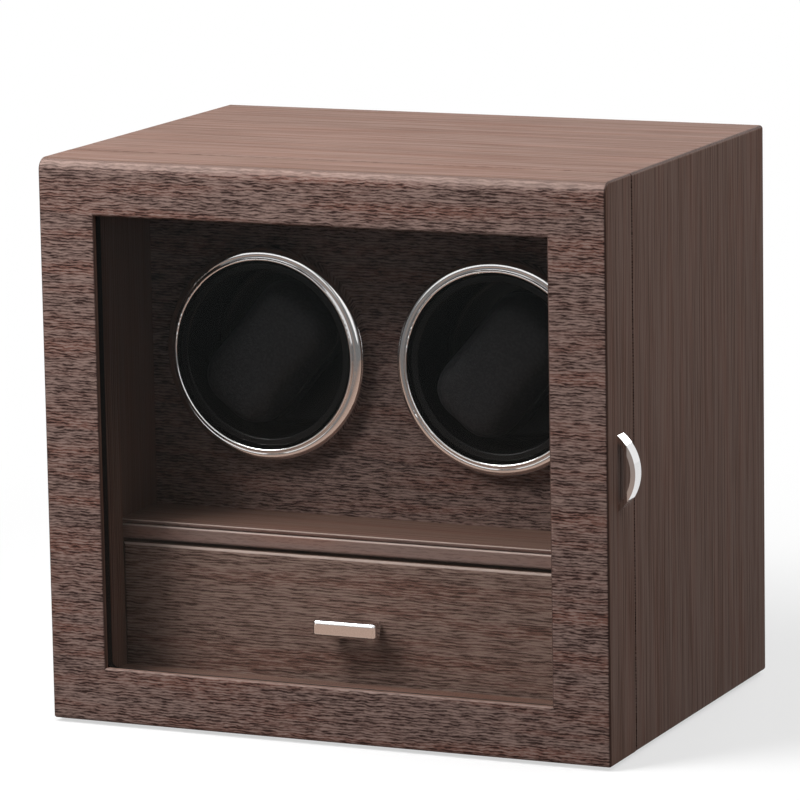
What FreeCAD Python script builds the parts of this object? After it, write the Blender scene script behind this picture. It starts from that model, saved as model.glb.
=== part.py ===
import FreeCAD, Part
import math
import os
import re
import Sketcher

# A watch winder box with a framed glass door, a drawer and two geared rotor cups.
# +Z is up, the door faces -Y, and the origin is the middle of the underside.

# Driving dimensions, in millimetres, degrees and counts.
SIZES = {
    # Whole box
    "box_width": 244,
    "box_depth": 176,
    "box_height": 230,
    "wall": 12,
    "edge_round": 1.5,
    "felt_thick": 1.5,
    "felt_inset": 8,
    "back_thick": 5,
    "back_recess": 4,
    "batten_width": 10,
    # Door
    "door_thick": 27,
    "door_gap": 1,
    "door_round": 5,
    "door_edge": 1.2,
    "stile_width": 24.6,
    "rail_width": 22.6,
    "window_round": 1.4,
    "glass_inset": 1.6,
    "glass_thick": 3,
    "glass_lap": 4.5,
    "glass_play": 0.4,
    "retainer_width": 3,
    "retainer_thick": 4,
    "retainer_corner": 3,
    "pull_chord": 30,
    "pull_rise": 7.2,
    "pull_strip": 2,
    "pull_width": 6.4,
    "stud_radius": 1.1,
    "stud_length": 9,
    # Hinges, screws and catch magnets
    "hinge_length": 40,
    "hinge_inset": 28,
    "leaf_width": 10,
    "leaf_thick": 0.95,
    "leaf_play": 0.1,
    "knuckle_radius": 2.5,
    "knuckle_gap": 0.3,
    "pin_radius": 1.25,
    "pin_play": 0.05,
    "screw_radius": 1.25,
    "screw_head": 2.3,
    "screw_length": 11,
    "screw_pitch": 24,
    "pan_height": 1.8,
    "magnet_radius": 4,
    "magnet_thick": 2,
    "magnet_inset": 52,
    # Compartment
    "liner_thick": 5,
    "liner_setback": 3,
    "drawer_bay": 57.9,
    "shelf_thick": 6.2,
    "shelf_ease": 1.1,
    "floor_thick": 1.9,
    "floor_ease": 0.7,
    "panel_thick": 8,
    # Rotors
    "rotor_margin": 9.6,
    "rotor_gap": 14.8,
    "rotor_height": 66.2,
    "bezel_flare": 5.1,
    "bezel_foot": 3,
    "bezel_rise": 8,
    "bezel_drop": 2.6,
    "bezel_skin": 1.6,
    "bezel_curve": 2.8,
    "bead_width": 1.2,
    "bead_depth": 1,
    "cup_play": 1,
    "cup_wall": 3.2,
    "cup_depth": 33,
    "cup_recess": 2,
    "cup_floor": 3,
    "cup_round": 0.8,
    "cup_corner": 3,
    "hub_radius": 9,
    "shaft_radius": 3,
    "shaft_play": 0.05,
    "shaft_chamfer": 0.5,
    "shaft_tail": 2.5,
    "bush_radius": 5,
    "bush_flange": 7,
    "bush_play": 0.3,
    "bush_lip": 0.8,
    "clip_radius": 5.5,
    "clip_thick": 0.8,
    # Gear train
    "gear_module": 1.5,
    "gear_teeth": 40,
    "pinion_teeth": 16,
    "gear_thick": 6,
    "gear_gap": 2,
    "gear_backlash": 0.16,
    "pressure_angle": 20,
    "tooth_above": 0.8,
    "tooth_below": 1.1,
    # Motors and electrics
    "motor_room": 19,
    "plate_gap": 3,
    "plate_thick": 5,
    "motor_angle": 60,
    "gearbox_radius": 12.5,
    "gearbox_length": 16,
    "can_radius": 12,
    "can_length": 18,
    "boss_radius": 4,
    "boss_play": 0.2,
    "motor_shaft_radius": 2,
    "motor_shaft_depth": 8,
    "motor_screw_pitch": 17,
    "motor_screw_depth": 5,
    "terminal_width": 4,
    "terminal_length": 3,
    "board_width": 74,
    "board_height": 44,
    "board_thick": 1.6,
    "board_rise": 108,
    "standoff_length": 5,
    "standoff_radius": 2.5,
    "standoff_inset": 4,
    "plug_width": 9,
    "plug_height": 7,
    "plug_depth": 7,
    "chip_size": 12,
    "chip_thick": 2,
    "lead_radius": 1.1,
    "lead_offset": 6,
    "lead_bend": 6,
    "inlet_across": 70,
    "inlet_rise": 96,
    "inlet_radius": 4,
    "inlet_flange": 5.5,
    "inlet_rim": 2,
    "inlet_length": 12,
    "inlet_bore": 2.75,
    "inlet_bore_depth": 9,
    "inlet_pin": 1.05,
    "inlet_pin_sink": 1,
    "switch_rise": 126,
    "switch_width": 9,
    "switch_length": 13,
    "switch_rim": 1.5,
    "switch_rim_thick": 2,
    "switch_depth": 12,
    "rocker_width": 6.6,
    "rocker_length": 8.8,
    "rocker_base": 7,
    "rocker_sink": 1.2,
    "rocker_crest": 3.4,
    "rocker_dip": 0.7,
    "rocker_side_play": 0.3,
    "rocker_end_play": 0.8,
    "rocker_pivot": 0.8,
    "rocker_tilt": 9,
    # Drawer
    "drawer_play": 0.8,
    "drawer_top_gap": 1.5,
    "glide_thick": 2.5,
    "glide_width": 8,
    "glide_spread": 160,
    "drawer_front_thick": 10,
    "drawer_round": 1.6,
    "drawer_room": 19,
    "drawer_side_thick": 6,
    "drawer_side_height": 40,
    "drawer_bottom_thick": 4,
    "lining_thick": 1,
    "lining_play": 0.2,
    "bar_width": 28,
    "bar_height": 7,
    "bar_depth": 5.5,
    "bar_stand": 6.5,
    "bar_round": 1.6,
    "leg_radius": 2.4,
    "leg_pitch": 18,
    "leg_screw_depth": 4.5,
    # Cushions
    "cushion_play": 2.1,
    "cushion_width": 41,
    "cushion_depth": 38,
    "cushion_corner": 15,
    "cushion_draw": 0.7,
    "cushion_shrink": 7,
    "cushion_turn": 50,
}

# Places worked out from the driving dimensions.
PLACES = {
    "half_width": "box_width / 2",
    "x_wall": "half_width - wall",
    "x_liner": "x_wall - liner_thick",
    "x_hinge": "-half_width - knuckle_radius - knuckle_gap",
    "x_window": "half_width - stile_width",
    "x_rebate": "x_window + glass_lap",
    "x_glass": "x_rebate - glass_play",
    "x_magnet": "half_width - wall / 2",
    "x_leaf_screw": "-half_width + leaf_width / 2",
    "x_rotor": "rotor_gap / 2 + bezel_base",
    "x_motor": "x_rotor - gear_centres * cos(motor_angle)",
    "x_lead": "x_motor - lead_offset",
    "x_batten": "x_liner - batten_width",
    "x_back_screw": "x_liner - batten_width / 2",
    "x_drawer": "x_liner - drawer_play",
    "x_drawer_inside": "x_drawer - drawer_side_thick",
    "x_lining": "x_drawer_inside - lining_play",
    "x_pull": "half_width + pull_rise - pull_radius",
    "y_front": "-box_depth / 2",
    "y_glass": "y_front + glass_inset",
    "y_retainer": "y_glass + glass_thick",
    "y_door": "y_front + door_thick",
    "y_hinge": "y_door + door_gap / 2",
    "y_case_leaf": "y_hinge + leaf_play / 2",
    "y_door_leaf": "y_hinge - leaf_play / 2",
    "y_case": "y_door + door_gap",
    "y_liner": "y_case + liner_setback",
    "y_rear": "box_depth / 2",
    "y_back": "y_rear - back_recess",
    "y_inner": "y_back - back_thick",
    "y_terminal": "y_inner - motor_room",
    "y_motor_rear": "y_terminal - terminal_length",
    "y_can": "y_motor_rear - can_length",
    "y_motor": "y_can - gearbox_length",
    "y_plate": "y_motor - plate_thick",
    "y_hub": "y_plate - plate_gap",
    "y_gear": "y_hub - gear_thick",
    "y_cup_rear": "y_gear - gear_gap",
    "y_seat": "y_cup_rear - cup_floor",
    "y_cup": "y_seat - cup_depth",
    "y_lip": "y_cup - cup_recess",
    "y_panel": "y_lip + bezel_rise",
    "y_clip": "y_motor + bush_lip + bush_play",
    "y_shaft_end": "y_clip + clip_thick + shaft_tail",
    "y_standoff": "y_inner - standoff_length",
    "y_board": "y_standoff - board_thick",
    "y_lead": "y_board - plug_depth / 2",
    "y_rocker": "y_back + switch_rim_thick - rocker_crest",
    "y_pull": "y_front + door_thick / 2",
    "y_drawer": "y_liner + drawer_front_thick",
    "y_drawer_end": "y_inner - drawer_room",
    "y_drawer_back": "y_drawer_end - drawer_side_thick",
    "y_bar": "y_liner - bar_stand - bar_depth",
    "z_under": "felt_thick",
    "z_bottom": "z_under + wall",
    "z_shelf": "z_bottom + drawer_bay",
    "z_shelf_top": "z_shelf + shelf_thick",
    "z_floor": "z_shelf_top + floor_thick",
    "z_top": "z_under + box_height",
    "z_ceiling": "z_top - wall",
    "z_middle": "z_under + box_height / 2",
    "z_sill": "z_under + rail_width",
    "z_head": "z_top - rail_width",
    "z_rebate_low": "z_sill - glass_lap",
    "z_rebate_high": "z_head + glass_lap",
    "z_rotor": "z_floor + rotor_height",
    "z_motor": "z_rotor + gear_centres * sin(motor_angle)",
    "z_hinge_low": "z_under + hinge_inset",
    "z_hinge_high": "z_top - hinge_inset - hinge_length",
    "z_magnet_low": "z_under + magnet_inset",
    "z_magnet_high": "z_top - magnet_inset",
    "z_drawer": "z_bottom + glide_thick",
    "z_drawer_top": "z_shelf - drawer_top_gap",
    "z_drawer_side": "z_drawer + drawer_side_height",
    "z_drawer_floor": "z_drawer + drawer_bottom_thick",
    "z_bar": "(z_drawer + z_drawer_top) / 2",
    "z_board_top": "board_rise + board_height / 2",
    "z_back_screw": "(z_shelf_top + z_ceiling) / 2",
    "back_screw_step": "(z_ceiling - z_shelf_top) / 2 - 2 * batten_width",
    "edge_ease": "edge_round * (1 - sqrt(0.5))",
    "leaf_sink": "leaf_thick + leaf_play / 2 - door_gap / 2",
    "knuckle_length": "hinge_length / 3 - knuckle_gap / 2",
    "door_bore": "pin_radius + pin_play",
    "pull_radius": "(pull_chord^2 / 4 + pull_rise^2) / (2 * pull_rise)",
    "stud_spread": "pull_chord / 2 - 0.6 * pull_strip",
    "bezel_base": "(x_liner - rotor_margin - rotor_gap / 2) / 2",
    "bezel_radius": "bezel_base - bezel_flare",
    "bezel_collar": "bezel_base - bezel_foot",
    "bead_step": "1.6 * bead_width",
    "bead_radius": "0.6 * bead_width",
    "bead_side": "y_lip + bead_width * (0.6 - sqrt(0.11))",
    "cup_radius": "bezel_radius - cup_play",
    "cup_inside": "cup_radius - cup_wall",
    "cushion_length": "2 * (cup_inside - cushion_play)",
    "bush_bore": "shaft_radius + shaft_play",
    "motor_bore": "motor_shaft_radius + shaft_play",
    "gear_radius": "gear_module * round(gear_teeth) / 2",
    "pinion_radius": "gear_module * round(pinion_teeth) / 2",
    "gear_centres": "gear_radius + pinion_radius",
    "motor_screw_x": "motor_screw_pitch / 2 * sin(motor_angle)",
    "motor_screw_z": "motor_screw_pitch / 2 * cos(motor_angle)",
}

# Sections of a cushion: share of its full shrink, and share of its depth from rear to front.
CUSHION_SWELL = ((0.55, 0.0), (0.15, 0.12), (0.0, 0.42), (0.12, 0.72), (0.45, 0.9), (1.0, 1.0))

UP = FreeCAD.Rotation()
ALONG_Y = FreeCAD.Rotation(FreeCAD.Vector(1, 0, 0), -90)
AGAINST_Y = FreeCAD.Rotation(FreeCAD.Vector(1, 0, 0), 90)
ROUND_YZ = FreeCAD.Rotation(FreeCAD.Vector(1, 1, 1), 120)
SIDES = (("left", "-1"), ("right", "1"))
NEAR = 1e-4

doc = FreeCAD.newDocument("watch_winder_box")
sheet = doc.addObject("Spreadsheet::Sheet", "dims")
for row, (word, number) in enumerate(SIZES.items(), start=1):
    sheet.set(f"A{row}", word)
    sheet.set(f"B{row}", str(number))
    sheet.setAlias(f"B{row}", word)
doc.recompute()

nodes = []
cuts = []


def expand(text):
    """Write an expression of sizes and places in terms of the sheet's cells."""
    def swap(found):
        word = found.group()
        if word in SIZES:
            return f"dims.{word}"
        if word in PLACES:
            return f"({expand(PLACES[word])})"
        return word
    return re.sub(r"[a-z_]+", swap, text)


def value(text):
    """Work out an expression of sizes and places as a number."""
    return float(sheet.evalExpression(expand(text)))


def node(thing, label):
    """Keep an object as one sub-part under its own label."""
    thing.Label = label
    nodes.append(thing)
    return thing


def new_body(label):
    """Start a body that becomes one sub-part."""
    body = doc.addObject("PartDesign::Body", label)
    body.AllowCompound = True
    return node(body, label)


def place(thing, x="0", y="0", z="0"):
    """Bind an object's position to expressions."""
    for letter, text in (("x", x), ("y", y), ("z", z)):
        thing.setExpression(f"Placement.Base.{letter}", expand(text))
    return thing


def rectangle(x_low, x_high, y_low, y_high):
    """Corner points of a rectangle."""
    return [(x_low, y_low), (x_high, y_low), (x_high, y_high), (x_low, y_high)]


def rounded(x_low, x_high, y_low, y_high, radius):
    """Outline of a rectangle with round corners."""
    return [
        (f"{x_low} + {radius}", y_low),
        (f"{x_high} - {radius}", y_low, radius),
        (x_high, f"{y_low} + {radius}"),
        (x_high, f"{y_high} - {radius}", radius),
        (f"{x_high} - {radius}", y_high),
        (f"{x_low} + {radius}", y_high, radius),
        (x_low, f"{y_high} - {radius}"),
        (x_low, f"{y_low} + {radius}", radius),
    ]


def circle(x, y, radius):
    """A round loop."""
    return ("circle", x, y, radius)


def pin_point(sketch, shape, corner, x, y):
    """Hold one point of a sketch at two bound distances from its origin."""
    for kind, text in (("DistanceX", x), ("DistanceY", y)):
        rule = Sketcher.Constraint(kind, -1, 1, shape, corner, value(text))
        index = sketch.addConstraint(rule)
        sketch.setExpression(f"Constraints[{index}]", expand(text))


def bind_radius(sketch, shape, radius):
    """Hold a circle or arc at a bound radius."""
    index = sketch.addConstraint(Sketcher.Constraint("Radius", shape, value(radius)))
    sketch.setExpression(f"Constraints[{index}]", expand(radius))


def arc_middle(start, end, radius, side):
    """Middle point of an arc that bulges to the left (1) or the right (-1) of its way."""
    chord = end - start
    across = FreeCAD.Vector(-chord.y, chord.x, 0).normalize()
    rise = radius - math.sqrt(radius ** 2 - (chord.Length / 2) ** 2)
    return (start + end) / 2 + across * side * rise


def draw_circle(sketch, x, y, radius):
    """Draw one bound circle."""
    centre = FreeCAD.Vector(value(x), value(y), 0)
    shape = sketch.addGeometry(Part.Circle(centre, FreeCAD.Vector(0, 0, 1), value(radius)), False)
    pin_point(sketch, shape, 3, x, y)
    bind_radius(sketch, shape, radius)


def draw_outline(sketch, points):
    """Draw a closed outline; a point with a third item starts an arc of that radius, bulging outwards."""
    spots = [FreeCAD.Vector(value(point[0]), value(point[1]), 0) for point in points]
    ends = spots[1:] + spots[:1]
    area = sum(start.x * end.y - end.x * start.y for start, end in zip(spots, ends))
    outwards = -1 if area > 0 else 1
    shapes = []
    for point, start, end in zip(points, spots, ends):
        if len(point) == 3:
            middle = arc_middle(start, end, value(point[2]), outwards)
            shape = sketch.addGeometry(Part.Arc(start, middle, end), False)
            shapes.append((shape, 1, 2) if outwards == -1 else (shape, 2, 1))
        else:
            shape = sketch.addGeometry(Part.LineSegment(start, end), False)
            shapes.append((shape, 1, 2))
    followers = shapes[1:] + shapes[:1]
    for point, (shape, first, last), (following, begin, _) in zip(points, shapes, followers):
        sketch.addConstraint(Sketcher.Constraint("Coincident", shape, last, following, begin))
        pin_point(sketch, shape, first, point[0], point[1])
        if len(point) == 3:
            bind_radius(sketch, shape, point[2])


def new_sketch(body, plane, loops, start):
    """Draw loops on a plane of the body that stands at a bound distance along its world axis."""
    sketch = body.newObject("Sketcher::SketchObject", f"{body.Name}_sketch")
    support = next(item for item in body.Origin.OriginFeatures if item.Role == plane)
    sketch.AttachmentSupport = [(support, "")]
    sketch.MapMode = "FlatFace"
    sign = "-" if plane == "XZ_Plane" else ""
    sketch.setExpression("AttachmentOffset.Base.z", expand(f"{sign}({start})"))
    for loop in loops:
        if loop[0] == "circle":
            draw_circle(sketch, *loop[1:])
        else:
            draw_outline(sketch, loop)
    return sketch


def pad(body, plane, loops, start, length):
    """Add material from start along the plane's positive world axis."""
    sketch = new_sketch(body, plane, loops, start)
    feature = body.newObject("PartDesign::Pad", f"{body.Name}_pad")
    feature.Profile = sketch
    feature.Reversed = plane == "XZ_Plane"
    feature.setExpression("Length", expand(length))
    return feature


def pocket(body, plane, loops, start, length):
    """Cut material from start along the plane's positive world axis."""
    sketch = new_sketch(body, plane, loops, start)
    feature = body.newObject("PartDesign::Pocket", f"{body.Name}_pocket")
    feature.Profile = sketch
    feature.Reversed = plane != "XZ_Plane"
    feature.setExpression("Length", expand(length))
    cuts.append(feature)
    return feature


def board(label, plane, loops, start, length):
    """A sub-part that starts as one padded outline."""
    body = new_body(label)
    pad(body, plane, loops, start, length)
    return body


def revolve(label, profile, x, z):
    """Turn a profile of radius and depth points about a front-to-back axis."""
    body = new_body(label)
    sketch = new_sketch(body, "XY_Plane", [profile], "0")
    feature = body.newObject("PartDesign::Revolution", f"{label}_turn")
    feature.Profile = sketch
    feature.ReferenceAxis = (sketch, ["V_Axis"])
    feature.Angle = 360
    return place(body, x, "0", z)


def round_edges(body, radius, wanted):
    """Round the edges of a body whose boxes a test picks out."""
    doc.recompute()
    base = body.Tip
    edges = enumerate(base.Shape.Edges, start=1)
    names = [f"Edge{number}" for number, edge in edges if wanted(edge.BoundBox)]
    feature = body.newObject("PartDesign::Fillet", f"{body.Name}_round")
    feature.Base = (base, names)
    feature.setExpression("Radius", expand(radius))
    return feature


def lies_at(low, high, spot):
    """Tell whether a box is flat along one axis and stands at a spot."""
    return abs(low - spot) < NEAR and abs(high - spot) < NEAR


def rod(name, radius, length, x, y, z, turn):
    """A bound cylinder."""
    shape = doc.addObject("Part::Cylinder", name)
    shape.setExpression("Radius", expand(radius))
    shape.setExpression("Height", expand(length))
    shape.Placement.Rotation = turn
    return place(shape, x, y, z)


def taper(name, radius, end_radius, length, x, y, z, turn):
    """A bound cone."""
    shape = doc.addObject("Part::Cone", name)
    shape.setExpression("Radius1", expand(radius))
    shape.setExpression("Radius2", expand(end_radius))
    shape.setExpression("Height", expand(length))
    shape.Placement.Rotation = turn
    return place(shape, x, y, z)


def block(name, x_low, x_high, y_low, y_high, z_low, z_high):
    """A bound box between its low and high faces."""
    shape = doc.addObject("Part::Box", name)
    spans = (("Length", x_low, x_high), ("Width", y_low, y_high), ("Height", z_low, z_high))
    for side, low, high in spans:
        shape.setExpression(side, expand(f"({high}) - ({low})"))
    return place(shape, x_low, y_low, z_low)


def join(name, shapes):
    """Fuse primitives into one object."""
    fuse = doc.addObject("Part::MultiFuse", name)
    fuse.Shapes = shapes
    return fuse


def bored(name, solid, holes):
    """Cut round holes and sinks out of a joined object."""
    cut = doc.addObject("Part::Cut", name)
    cut.Base = solid
    cut.Tool = holes
    return cut


def leaf_screw_spots():
    """Places of the hinge screws, seen from the front."""
    spots = []
    for low in ("z_hinge_low", "z_hinge_high"):
        for sign in ("-", "+"):
            spots.append(("x_leaf_screw", f"{low} + hinge_length / 2 {sign} screw_pitch / 2"))
    return spots


def magnet_spots():
    """Places of the catch magnets, seen from the front."""
    return [("x_magnet", "z_magnet_low"), ("x_magnet", "z_magnet_high")]


def back_screw_spots():
    """Places of the back panel screws, three up each batten."""
    return [(f"{sign} * x_back_screw", f"z_back_screw + {step} * back_screw_step")
            for _, sign in SIDES for step in ("-1", "0", "1")]


def motor_screw_spots(sign):
    """Places of one motor's screws, square to the line between the gear centres."""
    return [(f"{sign} * (x_motor + {way} * motor_screw_x)", f"z_motor + {way} * motor_screw_z")
            for way in ("-1", "1")]


def circles(spots, radius):
    """Round loops of one radius at several spots."""
    return [circle(x, z, radius) for x, z in spots]


def leaf_loops():
    """Outlines of both hinge leaves, run out past the side face."""
    return [rectangle("-half_width - leaf_width", "-half_width + leaf_width", low, f"{low} + hinge_length")
            for low in ("z_hinge_low", "z_hinge_high")]


def flat_wall(label, outer, inner, inwards):
    """A mitred top or bottom wall of the carcass, with its outer corners eased."""
    eased = f"{outer} {inwards} edge_ease"
    outline = [
        ("-x_wall", inner),
        ("x_wall", inner),
        ("half_width - edge_ease", eased, "edge_round"),
        ("half_width - edge_round", outer),
        ("-half_width + edge_round", outer, "edge_round"),
        ("-half_width + edge_ease", eased),
    ]
    return board(label, "XZ_Plane", [outline], "y_case", "y_rear - y_case")


def side_wall(label, sign):
    """A mitred side wall of the carcass, with its outer corners eased."""
    eased = f"{sign} * (half_width - edge_ease)"
    outline = [
        (f"{sign} * x_wall", "z_ceiling"),
        (f"{sign} * x_wall", "z_bottom"),
        (eased, "z_under + edge_ease", "edge_round"),
        (f"{sign} * half_width", "z_under + edge_round"),
        (f"{sign} * half_width", "z_top - edge_round", "edge_round"),
        (eased, "z_top - edge_ease"),
    ]
    return board(label, "XZ_Plane", [outline], "y_case", "y_rear - y_case")


def build_carcass():
    """Mitred walls with hinge and magnet recesses, and the felt under them."""
    flat_wall("carcass_top", "z_top", "z_ceiling", "-")
    flat_wall("carcass_bottom", "z_under", "z_bottom", "+")
    left = side_wall("carcass_left", "-1")
    pocket(left, "XZ_Plane", leaf_loops(), "y_case", "leaf_sink")
    holes = circles(leaf_screw_spots(), "screw_radius")
    pocket(left, "XZ_Plane", holes, "y_case", "y_case_leaf + screw_length - y_case")
    right = side_wall("carcass_right", "1")
    pocket(right, "XZ_Plane", circles(magnet_spots(), "magnet_radius"), "y_case", "magnet_thick")
    felt = rectangle("-half_width + felt_inset", "half_width - felt_inset",
                     "y_case + felt_inset", "y_rear - felt_inset")
    board("base_felt", "XY_Plane", [felt], "0", "felt_thick")


def build_back():
    """Recessed back panel, the battens that it is screwed to, and its screws."""
    panel = board("back_panel", "XZ_Plane", [rectangle("-x_wall", "x_wall", "z_bottom", "z_ceiling")],
                  "y_inner", "back_thick")
    openings = circles(back_screw_spots(), "screw_radius")
    openings.append(circle("inlet_across", "inlet_rise", "inlet_radius"))
    openings.append(rectangle("inlet_across - switch_width / 2", "inlet_across + switch_width / 2",
                              "switch_rise - switch_length / 2", "switch_rise + switch_length / 2"))
    pocket(panel, "XZ_Plane", openings, "y_inner", "back_thick")
    strips = [rectangle(f"{sign} * x_batten", f"{sign} * x_liner", "z_shelf_top", "z_ceiling")
              for _, sign in SIDES]
    battens = board("rear_battens", "XZ_Plane", strips, "y_inner - batten_width", "batten_width")
    pilots = circles(back_screw_spots(), "screw_radius")
    pocket(battens, "XZ_Plane", pilots, "y_back - screw_length", "screw_length - back_thick")
    screws = []
    for x, z in back_screw_spots():
        screws.append(rod("back_head", "screw_head", "pan_height", x, "y_back", z, ALONG_Y))
        screws.append(rod("back_shank", "screw_radius", "screw_length", x, "y_back", z, AGAINST_Y))
    node(join("back_panel_screws", screws), "back_panel_screws")


def build_compartment():
    """Side liners, divider shelf, compartment floor and the holed rotor panel."""
    for side, sign in SIDES:
        outline = rectangle(f"{sign} * x_liner", f"{sign} * x_wall", "z_bottom", "z_ceiling")
        board(f"liner_{side}", "XZ_Plane", [outline], "y_liner", "y_inner - y_liner")
    front = value("y_liner")

    def front_long(box):
        return lies_at(box.YMin, box.YMax, front) and box.XLength > box.ZLength

    shelf = board("divider_shelf", "XZ_Plane",
                  [rectangle("-x_liner", "x_liner", "z_shelf", "z_shelf_top")],
                  "y_liner", "y_inner - y_liner")
    round_edges(shelf, "shelf_ease", front_long)
    floor = board("compartment_floor", "XZ_Plane",
                  [rectangle("-x_liner", "x_liner", "z_shelf_top", "z_floor")],
                  "y_liner", "y_panel - y_liner")
    round_edges(floor, "floor_ease", front_long)
    loops = [rectangle("-x_liner", "x_liner", "z_shelf_top", "z_ceiling")]
    loops += [circle(f"{sign} * x_rotor", "z_rotor", "bezel_collar") for _, sign in SIDES]
    board("rotor_panel", "XZ_Plane", loops, "y_panel", "panel_thick")


def round_frame(frame):
    """Round the door's top front edge well, its other front edges and ends a little, and its window."""
    front = value("y_front")
    side = value("half_width")
    reach = value("x_window") + NEAR
    sill = value("z_sill") - NEAR
    head = value("z_head") + NEAR
    under = value("z_under") + NEAR
    top = value("z_top") - NEAR
    shoulder = value("z_top - door_round") - NEAR

    def at_front(box):
        return lies_at(box.YMin, box.YMax, front)

    def on_window(box):
        return -reach < box.XMin and box.XMax < reach and sill < box.ZMin and box.ZMax < head

    def on_outline(box):
        if at_front(box):
            return not on_window(box) and (box.ZLength > NEAR or box.ZMax < under)
        at_side = lies_at(box.XMin, box.XMax, side) or lies_at(box.XMin, box.XMax, -side)
        return at_side and (box.ZMin > shoulder or box.ZMax < under)

    round_edges(frame, "door_round", lambda box: at_front(box) and box.ZMin > top)
    round_edges(frame, "door_edge", on_outline)
    round_edges(frame, "window_round", lambda box: at_front(box) and on_window(box))


def build_door():
    """Rebated door frame, its glass and glass retainer, and the bow pull."""
    frame = board("door_frame", "XZ_Plane",
                  [rectangle("-half_width", "half_width", "z_under", "z_top"),
                   rectangle("-x_window", "x_window", "z_sill", "z_head")],
                  "y_front", "door_thick")
    rebate = rectangle("-x_rebate", "x_rebate", "z_rebate_low", "z_rebate_high")
    pocket(frame, "XZ_Plane", [rebate], "y_glass", "y_door - y_glass")
    pocket(frame, "XZ_Plane", leaf_loops(), "y_door - leaf_sink", "leaf_sink")
    pocket(frame, "XZ_Plane", circles(leaf_screw_spots(), "screw_radius"),
           "y_door_leaf - screw_length", "y_door - y_door_leaf + screw_length")
    sockets = circles(magnet_spots(), "magnet_radius")
    pocket(frame, "XZ_Plane", sockets, "y_door - magnet_thick", "magnet_thick")
    studs = [circle("y_pull", f"z_middle {sign} stud_spread", "stud_radius") for sign in ("-", "+")]
    pocket(frame, "YZ_Plane", studs, "half_width - stud_length", "stud_length")
    round_frame(frame)
    pane = rectangle("-x_glass", "x_glass", "z_rebate_low + glass_play", "z_rebate_high - glass_play")
    board("door_glass", "XZ_Plane", [pane], "y_glass", "glass_thick")
    inside = rounded("-x_rebate + retainer_width", "x_rebate - retainer_width",
                     "z_rebate_low + retainer_width", "z_rebate_high - retainer_width", "retainer_corner")
    board("glass_retainer", "XZ_Plane", [rebate, inside], "y_retainer", "retainer_thick")
    bow = board("door_pull", "XZ_Plane",
                [circle("x_pull", "z_middle", "pull_radius"),
                 circle("x_pull", "z_middle", "pull_radius - pull_strip")],
                "y_pull - pull_width / 2", "pull_width")
    behind = rectangle("x_pull - 2 * pull_radius", "half_width",
                       "z_middle - 2 * pull_radius", "z_middle + 2 * pull_radius")
    pocket(bow, "XZ_Plane", [behind], "y_pull - pull_width", "2 * pull_width")
    pad(bow, "YZ_Plane", studs, "half_width - stud_length", "stud_length")


def hinge_leaves(label, leaf_low, leaf_high, sink_face, sink_turn, knuckles, bore):
    """Two hinge leaves with their knuckles, bored for the pin and sunk for the screws."""
    solids = []
    holes = []
    for low in ("z_hinge_low", "z_hinge_high"):
        top = f"{low} + hinge_length"
        solids.append(block("leaf", "-half_width", "-half_width + leaf_width", leaf_low, leaf_high, low, top))
        holes.append(rod("pin_bore", bore, "hinge_length", "x_hinge", "y_hinge", low, UP))
        for start in knuckles:
            foot = f"{low} + {start}"
            solids.append(rod("knuckle", "knuckle_radius", "knuckle_length", "x_hinge", "y_hinge", foot, UP))
            solids.append(block("tab", "x_hinge", "-half_width", leaf_low, leaf_high,
                                foot, f"{foot} + knuckle_length"))
    for x, z in leaf_screw_spots():
        holes.append(taper("sink", "screw_head", "screw_radius", "leaf_thick", x, sink_face, z, sink_turn))
    return node(bored(label, join(f"{label}_solid", solids), join(f"{label}_holes", holes)), label)


def sunk_screws(label, face, turn):
    """Countersunk hinge screws."""
    shapes = []
    for x, z in leaf_screw_spots():
        shapes.append(taper("sunk_head", "screw_head", "screw_radius", "leaf_thick", x, face, z, turn))
        shapes.append(rod("sunk_shank", "screw_radius", "screw_length", x, face, z, turn))
    return node(join(label, shapes), label)


def build_hinges():
    """Butt hinges at the left edge, with their pins and screws, and the catch magnets at the right."""
    outer_knuckles = ("0", "hinge_length - knuckle_length")
    hinge_leaves("hinge_case_leaves", "y_case_leaf", "y_case_leaf + leaf_thick", "y_case_leaf", ALONG_Y,
                 outer_knuckles, "pin_radius")
    middle_knuckle = ("(hinge_length - knuckle_length) / 2",)
    hinge_leaves("hinge_door_leaves", "y_door_leaf - leaf_thick", "y_door_leaf", "y_door_leaf", AGAINST_Y,
                 middle_knuckle, "door_bore")
    pins = [rod("hinge_pin", "pin_radius", "hinge_length", "x_hinge", "y_hinge", low, UP)
            for low in ("z_hinge_low", "z_hinge_high")]
    node(join("hinge_pins", pins), "hinge_pins")
    sunk_screws("hinge_case_screws", "y_case_leaf", ALONG_Y)
    sunk_screws("hinge_door_screws", "y_door_leaf", AGAINST_Y)
    for label, face in (("case_magnets", "y_case"), ("door_magnets", "y_door - magnet_thick")):
        board(label, "XZ_Plane", circles(magnet_spots(), "magnet_radius"), face, "magnet_thick")


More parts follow.
